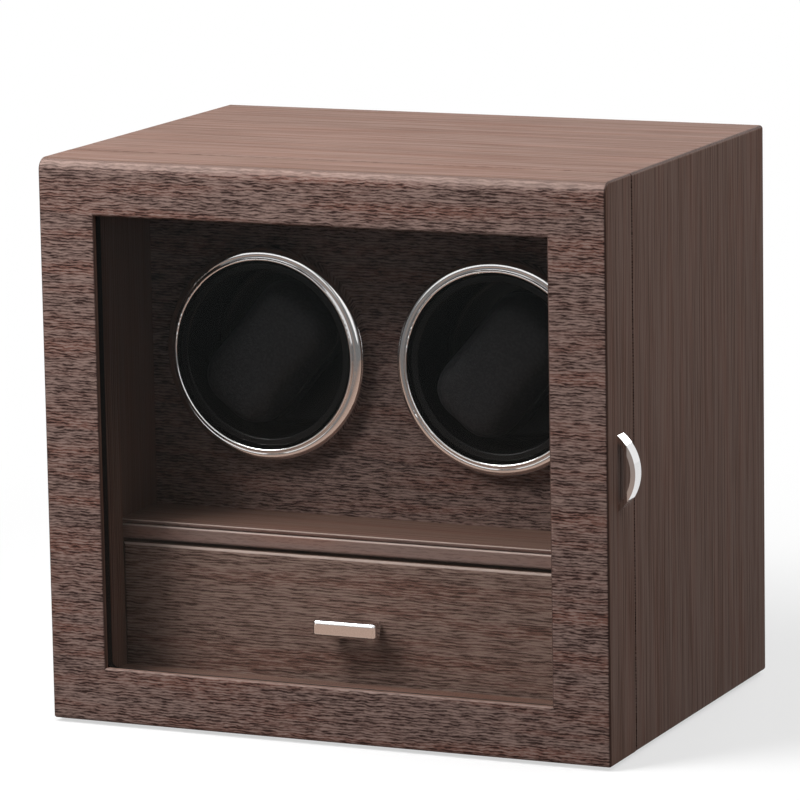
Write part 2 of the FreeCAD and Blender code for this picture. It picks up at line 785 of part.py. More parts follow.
def build_rotor(side, sign):
    """Bezel, cup, shaft and retaining clip of one rotor."""
    centre = f"{sign} * x_rotor"
    revolve(f"bezel_{side}", [
        ("bezel_radius", "y_lip + bezel_skin"),
        ("bezel_radius", "bead_side", "bead_radius"),
        ("bezel_radius + bead_width", "bead_side"),
        ("bezel_radius + bead_width", "y_lip + bead_depth"),
        ("bezel_radius + bead_step", "y_lip + bead_depth", "bezel_curve"),
        ("bezel_base", "y_lip + bezel_drop"),
        ("bezel_base", "y_panel"),
        ("bezel_collar", "y_panel"),
        ("bezel_collar", "y_panel + panel_thick"),
        ("bezel_collar - bezel_skin", "y_panel + panel_thick"),
        ("bezel_collar - bezel_skin", "y_lip + 2 * bezel_skin"),
    ], centre, "z_rotor")
    cup = revolve(f"rotor_cup_{side}", [
        ("0", "y_seat"),
        ("cup_inside", "y_seat"),
        ("cup_inside", "y_cup"),
        ("cup_radius", "y_cup"),
        ("cup_radius", "y_cup_rear"),
        ("hub_radius", "y_cup_rear"),
        ("hub_radius", "y_hub"),
        ("shaft_radius", "y_hub"),
        ("shaft_radius", "y_cup_rear"),
        ("0", "y_cup_rear"),
    ], centre, "z_rotor")
    mouth = value("y_cup")
    seat = value("y_seat")
    round_edges(cup, "cup_round", lambda box: lies_at(box.YMin, box.YMax, mouth))
    round_edges(cup, "cup_corner", lambda box: lies_at(box.YMin, box.YMax, seat))
    revolve(f"rotor_shaft_{side}", [
        ("0", "y_cup_rear"),
        ("shaft_radius", "y_cup_rear"),
        ("shaft_radius", "y_shaft_end - shaft_chamfer"),
        ("shaft_radius - shaft_chamfer", "y_shaft_end"),
        ("0", "y_shaft_end"),
    ], centre, "z_rotor")
    revolve(f"shaft_clip_{side}", rectangle("shaft_radius", "clip_radius", "y_clip", "y_clip + clip_thick"),
            centre, "z_rotor")


def tooth_outline(teeth, first_angle):
    """Closed outline of an involute gear about the Y axis, with one tooth at the first angle."""
    module = value("gear_module")
    pitch = module * teeth / 2
    base = pitch * math.cos(math.radians(value("pressure_angle")))
    tip = pitch + value("tooth_above") * module
    root = pitch - value("tooth_below") * module
    foot = max(base, root)

    def roll(radius):
        lean = math.acos(min(1.0, base / radius))
        return math.tan(lean) - lean

    half_tooth = (math.pi * module - value("gear_backlash")) / (4 * pitch)

    def half_angle(radius):
        return half_tooth + roll(pitch) - roll(radius)

    def spot(radius, angle):
        return FreeCAD.Vector(radius * math.cos(angle), 0, radius * math.sin(angle))

    edges = []
    step = 2 * math.pi / teeth
    for index in range(teeth):
        angle = first_angle + index * step
        flank = (foot, (foot + tip) / 2, tip)
        rising = [spot(radius, angle - half_angle(radius)) for radius in flank]
        falling = [spot(radius, angle + half_angle(radius)) for radius in reversed(flank)]
        leave = spot(root, angle + half_angle(foot))
        arrive = spot(root, angle + step - half_angle(foot))
        if root < base:
            edges.append(Part.makeLine(spot(root, angle - half_angle(foot)), rising[0]))
        edges.append(Part.Arc(*rising).toShape())
        edges.append(Part.Arc(rising[-1], spot(tip, angle), falling[0]).toShape())
        edges.append(Part.Arc(*falling).toShape())
        if root < base:
            edges.append(Part.makeLine(falling[-1], leave))
        edges.append(Part.Arc(leave, spot(root, angle + step / 2), arrive).toShape())
    return Part.Wire(edges)


def toothed_wheel(teeth, first_angle, bore):
    """An involute wheel of the gear train's width, with its bore where it has one."""
    wide = value("gear_thick")
    along = FreeCAD.Vector(0, wide, 0)
    wheel = Part.Face(tooth_outline(teeth, first_angle)).extrude(along)
    if bore:
        wheel = wheel.cut(Part.makeCylinder(bore, wide, FreeCAD.Vector(), along))
    return wheel


def shaped(label, shape, x, y, z, turn=UP):
    """Keep a computed shape as a sub-part, placed after it is set."""
    feature = doc.addObject("Part::Feature", label)
    feature.Shape = shape
    feature.Placement = FreeCAD.Placement(FreeCAD.Vector(value(x), value(y), value(z)), turn)
    return node(feature, label)


def build_gears(side, sign):
    """Rotor gear and motor pinion of one rotor, with a tooth of one in a space of the other."""
    gear_teeth = round(value("gear_teeth"))
    pinion_teeth = round(value("pinion_teeth"))
    lean = math.radians(value("motor_angle"))
    towards_pinion = math.atan2(math.sin(lean), -float(sign) * math.cos(lean))
    gear = toothed_wheel(gear_teeth, towards_pinion, value("hub_radius"))
    shaped(f"rotor_gear_{side}", gear, f"{sign} * x_rotor", "y_gear", "z_rotor")
    towards_gear = towards_pinion + math.pi
    pinion = toothed_wheel(pinion_teeth, towards_gear + math.pi / pinion_teeth, 0)
    reach = value("y_plate + motor_shaft_depth - y_gear")
    shaft = Part.makeCylinder(value("motor_shaft_radius"), reach, FreeCAD.Vector(), FreeCAD.Vector(0, 1, 0))
    shaped(f"pinion_{side}", pinion.fuse(shaft).removeSplitter(), f"{sign} * x_motor", "y_gear", "z_motor")


def build_motor(side, sign):
    """Geared motor of one rotor, and the lead from its terminals to the board."""
    motor = revolve(f"motor_{side}", [
        ("0", "y_plate + motor_shaft_depth"),
        ("motor_bore", "y_plate + motor_shaft_depth"),
        ("motor_bore", "y_plate"),
        ("boss_radius", "y_plate"),
        ("boss_radius", "y_motor"),
        ("gearbox_radius", "y_motor"),
        ("gearbox_radius", "y_can"),
        ("can_radius", "y_can"),
        ("can_radius", "y_motor_rear"),
        ("0", "y_motor_rear"),
    ], f"{sign} * x_motor", "z_motor")
    local_spots = [(f"{sign} * {way} * motor_screw_x", f"{way} * motor_screw_z") for way in ("-1", "1")]
    pocket(motor, "XZ_Plane", circles(local_spots, "screw_radius"), "y_motor", "motor_screw_depth")
    across = f"-({sign}) * lead_offset"
    terminal = rectangle(f"{across} - terminal_width / 2", f"{across} + terminal_width / 2",
                         "-terminal_width / 2", "terminal_width / 2")
    pad(motor, "XZ_Plane", [terminal], "y_motor_rear", "terminal_length")
    x = f"{sign} * x_lead"
    run = "y_lead - lead_bend - y_terminal"
    drop = "z_motor - lead_bend - z_board_top"
    bend = doc.addObject("Part::Torus", "lead_bend_arc")
    bend.setExpression("Radius1", expand("lead_bend"))
    bend.setExpression("Radius2", expand("lead_radius"))
    bend.Angle3 = 90
    bend.Placement.Rotation = ROUND_YZ
    place(bend, x, "y_lead - lead_bend", "z_motor - lead_bend")
    out = rod("lead_out", "lead_radius", run, x, "y_terminal", "z_motor", ALONG_Y)
    down = rod("lead_down", "lead_radius", drop, x, "y_lead", "z_board_top", UP)
    node(join(f"motor_lead_{side}", [out, bend, down]), f"motor_lead_{side}")


def build_drive():
    """Motor plate with its bushes and screws, and the rotors, gears and motors that it carries."""
    loops = [rectangle("-x_liner", "x_liner", "z_shelf_top", "z_ceiling")]
    bushes = []
    bush_bores = []
    screws = []
    for side, sign in SIDES:
        build_rotor(side, sign)
        build_gears(side, sign)
        build_motor(side, sign)
        x = f"{sign} * x_rotor"
        loops.append(circle(x, "z_rotor", "bush_radius"))
        loops.append(circle(f"{sign} * x_motor", "z_motor", "boss_radius + boss_play"))
        loops += circles(motor_screw_spots(sign), "screw_radius")
        bushes.append(rod("flange", "bush_flange", "plate_gap - bush_play",
                          x, "y_hub + bush_play", "z_rotor", ALONG_Y))
        bushes.append(rod("sleeve", "bush_radius", "plate_thick + bush_lip",
                          x, "y_plate", "z_rotor", ALONG_Y))
        bush_bores.append(rod("bore", "bush_bore", "plate_gap + plate_thick + bush_lip",
                              x, "y_hub", "z_rotor", ALONG_Y))
        for across, up in motor_screw_spots(sign):
            screws.append(rod("motor_head", "screw_head", "pan_height", across, "y_plate", up, AGAINST_Y))
            screws.append(rod("motor_shank", "screw_radius", "plate_thick + motor_screw_depth",
                              across, "y_plate", up, ALONG_Y))
    board("motor_plate", "XZ_Plane", loops, "y_plate", "plate_thick")
    node(bored("rotor_bushes", join("bush_solids", bushes), join("bush_bores", bush_bores)), "rotor_bushes")
    node(join("motor_screws", screws), "motor_screws")


def build_electrics():
    """Control board on standoffs, power inlet and rocker switch, all on the back panel."""
    card = board("control_board", "XZ_Plane",
                 [rectangle("-board_width / 2", "board_width / 2",
                            "board_rise - board_height / 2", "z_board_top")],
                 "y_board", "board_thick")
    plugs = [rectangle(f"{sign} * x_lead - plug_width / 2", f"{sign} * x_lead + plug_width / 2",
                       "z_board_top - plug_height", "z_board_top") for _, sign in SIDES]
    pad(card, "XZ_Plane", plugs, "y_board - plug_depth", "plug_depth")
    chip = rectangle("-chip_size / 2", "chip_size / 2",
                     "board_rise - chip_size / 2", "board_rise + chip_size / 2")
    pad(card, "XZ_Plane", [chip], "y_board - chip_thick", "chip_thick")
    posts = []
    for _, sign in SIDES:
        for way in ("-1", "1"):
            posts.append(rod("post", "standoff_radius", "standoff_length",
                             f"{sign} * (board_width / 2 - standoff_inset)", "y_standoff",
                             f"board_rise + {way} * (board_height / 2 - standoff_inset)", ALONG_Y))
    node(join("board_standoffs", posts), "board_standoffs")
    revolve("dc_inlet", [
        ("0", "y_back - inlet_length"),
        ("inlet_radius", "y_back - inlet_length"),
        ("inlet_radius", "y_back"),
        ("inlet_flange", "y_back"),
        ("inlet_flange", "y_back + inlet_rim"),
        ("inlet_bore", "y_back + inlet_rim"),
        ("inlet_bore", "y_back + inlet_rim - inlet_bore_depth"),
        ("inlet_pin", "y_back + inlet_rim - inlet_bore_depth"),
        ("inlet_pin", "y_back + inlet_rim - inlet_pin_sink"),
        ("0", "y_back + inlet_rim - inlet_pin_sink"),
    ], "inlet_across", "inlet_rise")
    build_switch()


def build_switch():
    """Switch body with its rim and well, and the rocker on its pivot, resting at off."""
    def around(half_width, half_length):
        return rectangle(f"inlet_across - ({half_width})", f"inlet_across + ({half_width})",
                         f"switch_rise - ({half_length})", f"switch_rise + ({half_length})")

    body = board("switch_body", "XZ_Plane", [around("switch_width / 2", "switch_length / 2")],
                 "y_back - switch_depth", "switch_depth")
    pad(body, "XZ_Plane", [around("switch_width / 2 + switch_rim", "switch_length / 2 + switch_rim")],
        "y_back", "switch_rim_thick")
    well_floor = "y_rocker - rocker_sink - rocker_end_play"
    pocket(body, "XZ_Plane",
           [around("rocker_width / 2 + rocker_side_play", "rocker_length / 2 + rocker_end_play")],
           well_floor, f"y_back + switch_rim_thick - ({well_floor})")
    pivot = circle("y_rocker", "switch_rise", "rocker_pivot + shaft_play")
    pocket(body, "YZ_Plane", [pivot], "inlet_across - switch_width / 2", "switch_width")
    key = new_body("switch_rocker")
    pad(key, "YZ_Plane", [[
        ("-rocker_sink", "-rocker_base / 2"),
        ("-rocker_sink", "rocker_base / 2"),
        ("rocker_crest", "rocker_length / 2"),
        ("rocker_crest - rocker_dip", "0"),
        ("rocker_crest", "-rocker_length / 2"),
    ]], "-rocker_width / 2", "rocker_width")
    pad(key, "YZ_Plane", [circle("0", "0", "rocker_pivot")],
        "-switch_width / 2 + rocker_side_play", "switch_width - 2 * rocker_side_play")
    key.Placement.Rotation = FreeCAD.Rotation(FreeCAD.Vector(1, 0, 0), value("rocker_tilt"))
    place(key, "inlet_across", "y_rocker", "switch_rise")


def build_drawer():
    """Drawer front, box, lining and bar pull, and the glides that the drawer runs on."""
    front = board("drawer_front", "XZ_Plane",
                  [rectangle("-x_drawer", "x_drawer", "z_drawer", "z_drawer_top")],
                  "y_liner", "drawer_front_thick")
    legs = [(f"{sign} * leg_pitch / 2", "z_bar") for _, sign in SIDES]
    pocket(front, "XZ_Plane", circles(legs, "screw_radius"), "y_liner", "drawer_front_thick")
    face = value("y_liner")
    inside = value("x_drawer") - NEAR
    low = value("z_drawer") + NEAR
    high = value("z_drawer_top") - NEAR

    def on_rim(box):
        outer = box.XMax > inside or box.XMin < -inside or box.ZMin < low or box.ZMax > high
        return outer and lies_at(box.YMin, box.YMax, face)

    round_edges(front, "drawer_round", on_rim)
    for side, sign in SIDES:
        board(f"drawer_side_{side}", "XZ_Plane",
              [rectangle(f"{sign} * x_drawer_inside", f"{sign} * x_drawer", "z_drawer", "z_drawer_side")],
              "y_drawer", "y_drawer_end - y_drawer")
    board("drawer_back", "XZ_Plane",
          [rectangle("-x_drawer_inside", "x_drawer_inside", "z_drawer", "z_drawer_side")],
          "y_drawer_back", "drawer_side_thick")
    board("drawer_bottom", "XY_Plane",
          [rectangle("-x_drawer_inside", "x_drawer_inside", "y_drawer", "y_drawer_back")],
          "z_drawer", "drawer_bottom_thick")
    board("drawer_lining", "XY_Plane",
          [rectangle("-x_lining", "x_lining", "y_drawer + lining_play", "y_drawer_back - lining_play")],
          "z_drawer_floor", "lining_thick")
    bar = board("drawer_pull", "XZ_Plane",
                [rectangle("-bar_width / 2", "bar_width / 2",
                           "z_bar - bar_height / 2", "z_bar + bar_height / 2")],
                "y_bar", "bar_depth")
    round_edges(bar, "bar_round", lambda box: True)
    pad(bar, "XZ_Plane", circles(legs, "leg_radius"),
        "y_liner - bar_stand - bar_round", "bar_stand + bar_round")
    pocket(bar, "XZ_Plane", circles(legs, "screw_radius"), "y_liner - leg_screw_depth", "leg_screw_depth")
    screws = []
    for x, z in legs:
        screws.append(rod("pull_head", "screw_head", "pan_height", x, "y_drawer", z, ALONG_Y))
        screws.append(rod("pull_shank", "screw_radius", "drawer_front_thick + leg_screw_depth",
                          x, "y_drawer", z, AGAINST_Y))
    node(join("drawer_pull_screws", screws), "drawer_pull_screws")
    strips = [rectangle(f"{sign} * glide_spread / 2 - glide_width / 2",
                        f"{sign} * glide_spread / 2 + glide_width / 2",
                        "y_drawer", "y_drawer_end") for _, sign in SIDES]
    board("drawer_glides", "XY_Plane", strips, "z_bottom", "glide_thick")


def cushion_section(shrink, depth):
    """Rounded outline of a cushion at one depth, its sides drawn in between the corners."""
    long_half = value("cushion_length") / 2 - shrink
    wide_half = value("cushion_width") / 2 - shrink
    corner = value("cushion_corner") - shrink
    draw = value("cushion_draw")
    flat_x = long_half - corner
    flat_z = wide_half - corner
    slant = corner * math.sqrt(0.5)

    def spot(x, z):
        return FreeCAD.Vector(x, depth, z)

    def corner_arc(sx, sz):
        first = spot(sx * long_half, sz * flat_z)
        middle = spot(sx * (flat_x + slant), sz * (flat_z + slant))
        last = spot(sx * flat_x, sz * wide_half)
        return Part.Arc(first, middle, last).toShape()

    def drawn_side(first, middle, last):
        return Part.Arc(first, middle, last).toShape()

    return Part.Wire([
        corner_arc(1, 1),
        drawn_side(spot(flat_x, wide_half), spot(0, wide_half - draw), spot(-flat_x, wide_half)),
        corner_arc(-1, 1),
        drawn_side(spot(-long_half, flat_z), spot(draw / 2 - long_half, 0), spot(-long_half, -flat_z)),
        corner_arc(-1, -1),
        drawn_side(spot(-flat_x, -wide_half), spot(0, draw - wide_half), spot(flat_x, -wide_half)),
        corner_arc(1, -1),
        drawn_side(spot(long_half, -flat_z), spot(long_half - draw / 2, 0), spot(long_half, flat_z)),
    ])


def build_cushions():
    """Crowned cushions that seat on the cup floors; each swells from a flat rear to a domed front."""
    depth = value("cushion_depth")
    shrink = value("cushion_shrink")
    sections = [cushion_section(share * shrink, -along * depth) for share, along in CUSHION_SWELL]
    solid = Part.makeLoft(sections, True, False)
    for side, sign in SIDES:
        turn = FreeCAD.Rotation(FreeCAD.Vector(0, 1, 0), -value("cushion_turn"))
        shaped(f"cushion_{side}", solid, f"{sign} * x_rotor", "y_seat", "z_rotor", turn)


def check_model():
    """Stop if any object failed, any cut missed or any sub-part is not a sound solid."""
    doc.recompute()
    for thing in doc.Objects:
        if "Invalid" in thing.State or "Error" in thing.State:
            raise RuntimeError(f"{thing.Label} failed: {thing.State}")
    for cut in cuts:
        if cut.Shape.Volume > cut.BaseFeature.Shape.Volume - NEAR:
            raise RuntimeError(f"{cut.Label} cuts nothing")
    for part in nodes:
        if part.Shape.isNull() or not part.Shape.isValid() or not part.Shape.Solids:
            raise RuntimeError(f"{part.Label} is not a sound solid")


def write_parts():
    """Write every sub-part to its own file."""
    os.makedirs("parts", exist_ok=True)
    for part in nodes:
        part.Shape.exportStep(f"parts/{part.Label}.step")


build_carcass()
build_back()
build_compartment()
build_door()
build_hinges()
build_drive()
build_electrics()
build_drawer()
build_cushions()
check_model()
write_parts()
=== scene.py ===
"""Looks of a watch winder box: finishes, soft pieces, small fittings and studio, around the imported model."""

import logging
import math
from collections.abc import Callable
from dataclasses import dataclass, replace
from enum import Enum

import bpy
from mathutils import Matrix, Vector


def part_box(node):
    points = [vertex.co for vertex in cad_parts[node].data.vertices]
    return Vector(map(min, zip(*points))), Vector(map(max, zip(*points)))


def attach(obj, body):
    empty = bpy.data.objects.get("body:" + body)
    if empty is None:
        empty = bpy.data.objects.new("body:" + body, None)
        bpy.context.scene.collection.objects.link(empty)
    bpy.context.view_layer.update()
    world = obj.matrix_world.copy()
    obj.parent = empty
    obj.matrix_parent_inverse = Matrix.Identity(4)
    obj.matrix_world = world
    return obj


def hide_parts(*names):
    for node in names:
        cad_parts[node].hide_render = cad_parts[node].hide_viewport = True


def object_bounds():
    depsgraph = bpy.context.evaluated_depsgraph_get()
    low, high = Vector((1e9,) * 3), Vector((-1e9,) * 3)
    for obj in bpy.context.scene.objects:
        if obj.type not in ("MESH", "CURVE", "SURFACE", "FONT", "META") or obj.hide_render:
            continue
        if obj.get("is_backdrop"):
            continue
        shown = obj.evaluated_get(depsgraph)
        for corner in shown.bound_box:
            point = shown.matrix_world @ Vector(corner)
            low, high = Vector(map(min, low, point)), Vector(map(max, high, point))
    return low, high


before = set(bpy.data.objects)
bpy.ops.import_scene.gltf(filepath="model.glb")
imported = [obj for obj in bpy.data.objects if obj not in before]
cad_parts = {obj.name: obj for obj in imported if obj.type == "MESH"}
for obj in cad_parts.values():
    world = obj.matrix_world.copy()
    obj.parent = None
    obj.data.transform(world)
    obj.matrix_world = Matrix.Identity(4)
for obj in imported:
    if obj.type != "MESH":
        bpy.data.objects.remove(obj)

LOG = logging.getLogger("watch_winder_box")
MM = 0.001
QUARTER_TURN = math.radians(90)

Colour = tuple[float, float, float]
Way = tuple[float, float, float]
Ramp = tuple[float, float]
Socket = bpy.types.NodeSocket
Link = Socket | float | Vector | Colour

WHITE: Colour = (1.0, 1.0, 1.0)
BLACK: Colour = (0.0, 0.0, 0.0)
# The middle of a noise texture's values.
NOISE_MIDDLE = 0.5
# How far a face's normal has to lie along an axis for the face to look that way.
SQUARELY = 0.9
# The angle, in degrees, below which every edge is shaded smoothly.
ALL_SMOOTH = 180.0


def srgb(red: int, green: int, blue: int) -> Colour:
    """Turn a colour seen on a screen into the linear values that a shader takes.

    Args:
        red: Red from 0 to 255.
        green: Green from 0 to 255.
        blue: Blue from 0 to 255.

    Returns:
        The linear colour.
    """
    def linear(level: int) -> float:
        """Undo the screen's curve on one channel."""
        share = level / 255
        return share / 12.92 if share <= 0.04045 else ((share + 0.055) / 1.055) ** 2.4

    return linear(red), linear(green), linear(blue)


class Rays(Enum):
    """Kinds of rays that see the studio itself instead of its light."""

    CAMERA = "Is Camera Ray"
    GLOSSY = "Is Glossy Ray"
    TRANSMISSION = "Is Transmission Ray"


@dataclass(frozen=True)
class Noise:
    """How fine a noise texture is, how many finer layers it has, and how strong those are."""

    scale: float
    detail: float = 2.0
    rough: float = 0.5


class Shader:
    """A material's node tree, with a short method for each kind of node that the finishes use."""

    def __init__(self, name: str) -> None:
        """Start a material whose surface is one principled shader.

        Args:
            name: The material's name.
        """
        self.material = bpy.data.materials.new(name)
        self.material.use_nodes = True
        self.tree = self.material.node_tree
        self.surface = self.tree.nodes["Principled BSDF"]

    @classmethod
    def on(cls, tree: bpy.types.NodeTree) -> "Shader":
        """Work on a node tree that isn't a material's.

        Args:
            tree: The node tree.

        Returns:
            A shader without a surface.
        """
        made = cls.__new__(cls)
        made.tree = tree
        return made

    def node(self, kind: str, **settings: object) -> bpy.types.Node:
        """Add a node.

        Args:
            kind: The node's type name.
            **settings: Attributes to set on it.

        Returns:
            The new node.
        """
        made = self.tree.nodes.new(kind)
        for word, setting in settings.items():
            setattr(made, word, setting)
        return made

    def plug(self, target: Socket, source: Link) -> None:
        """Link a socket to another, or set its value.

        Args:
            target: The input socket.
            source: An output socket, or a plain value.
        """
        if isinstance(source, Socket):
            self.tree.links.new(source, target)
        else:
            target.default_value = source

    def set(self, **inputs: Link) -> None:
        """Set or link inputs of the surface shader.

        Args:
            **inputs: Values by input name, with underscores for spaces.
        """
        for word, source in inputs.items():
            value = source
            if isinstance(source, tuple):
                value = (*source, 1.0)
            self.plug(self.surface.inputs[word.replace("_", " ")], value)

    def math(self, operation: str, *values: Link) -> Socket:
        """Add a math node.

        Args:
            operation: Its operation.
            *values: Its inputs, in order.

        Returns:
            Its output.
        """
        made = self.node("ShaderNodeMath", operation=operation)
        for socket, value in zip(made.inputs, values):
            self.plug(socket, value)
        return made.outputs[0]

    def blend(self, share: Link, low: Link, high: Link) -> Socket:
        """Mix two numbers.

        Args:
            share: From 0, all low, to 1, all high.
            low: The first number.
            high: The second number.

        Returns:
            The mixed number.
        """
        made = self.node("ShaderNodeMix", data_type="FLOAT")
        for name, value in zip(("Factor", "A", "B"), (share, low, high)):
            self.plug(made.inputs[name], value)
        return made.outputs["Result"]

    def tint(self, share: Link, low: Link, high: Link) -> Socket:
        """Mix two colours.

        Args:
            share: From 0, all low, to 1, all high.
            low: The first colour.
            high: The second colour.

        Returns:
            The mixed colour.
        """
        made = self.node("ShaderNodeMix", data_type="RGBA")
        sockets = [socket for socket in made.inputs if socket.type == "RGBA"]
        self.plug(made.inputs["Factor"], share)
        for socket, value in zip(sockets, (low, high)):
            self.plug(socket, (*value, 1.0) if isinstance(value, tuple) else value)
        return next(socket for socket in made.outputs if socket.type == "RGBA")

    def step(self, value: Link, low: float, high: float) -> Socket:
        """Rise smoothly from 0 to 1 between two values.

        Args:
            value: The number to map.
            low: Where the rise starts.
            high: Where it ends.

        Returns:
            The mapped number.
        """
        made = self.node("ShaderNodeMapRange", interpolation_type="SMOOTHSTEP")
        for name, number in (("Value", value), ("From Min", low), ("From Max", high)):
            self.plug(made.inputs[name], number)
        return made.outputs["Result"]

    def join(self, x: Link, y: Link, z: Link) -> Socket:
        """Join three numbers into a vector."""
        made = self.node("ShaderNodeCombineXYZ")
        for socket, value in zip(made.inputs, (x, y, z)):
            self.plug(socket, value)
        return made.outputs[0]

    def split(self, vector: Socket) -> tuple[Socket, Socket, Socket]:
        """Split a vector into three numbers."""
        made = self.node("ShaderNodeSeparateXYZ")
        self.plug(made.inputs[0], vector)
        return tuple(made.outputs)

    def place(self) -> Socket:
        """Give the point on the piece, in metres."""
        return self.node("ShaderNodeTexCoord").outputs["Object"]

    def facing(self) -> tuple[Socket, Socket, Socket]:
        """Give how far the surface faces along each axis, from -1 to 1."""
        return self.split(self.node("ShaderNodeTexCoord").outputs["Normal"])

    def noise(self, vector: Socket, kind: Noise) -> Socket:
        """Add a noise texture.

        Args:
            vector: Where it is read.
            kind: How fine and how rough it is.

        Returns:
            The noise, around its middle.
        """
        made = self.node("ShaderNodeTexNoise")
        kinds = (("Scale", kind.scale), ("Detail", kind.detail), ("Roughness", kind.rough))
        for name, value in (("Vector", vector), *kinds):
            self.plug(made.inputs[name], value)
        return made.outputs["Fac"]

    def bump(self, height: Socket, depth: float, strength: float) -> None:
        """Raise the surface by a height.

        Args:
            height: The height, from 0 to 1.
            depth: What a height of 1 measures, in metres.
            strength: How much of it shows.
        """
        made = self.node("ShaderNodeBump")
        for name, value in (("Height", height), ("Distance", depth), ("Strength", strength)):
            self.plug(made.inputs[name], value)
        self.plug(self.surface.inputs["Normal"], made.outputs[0])


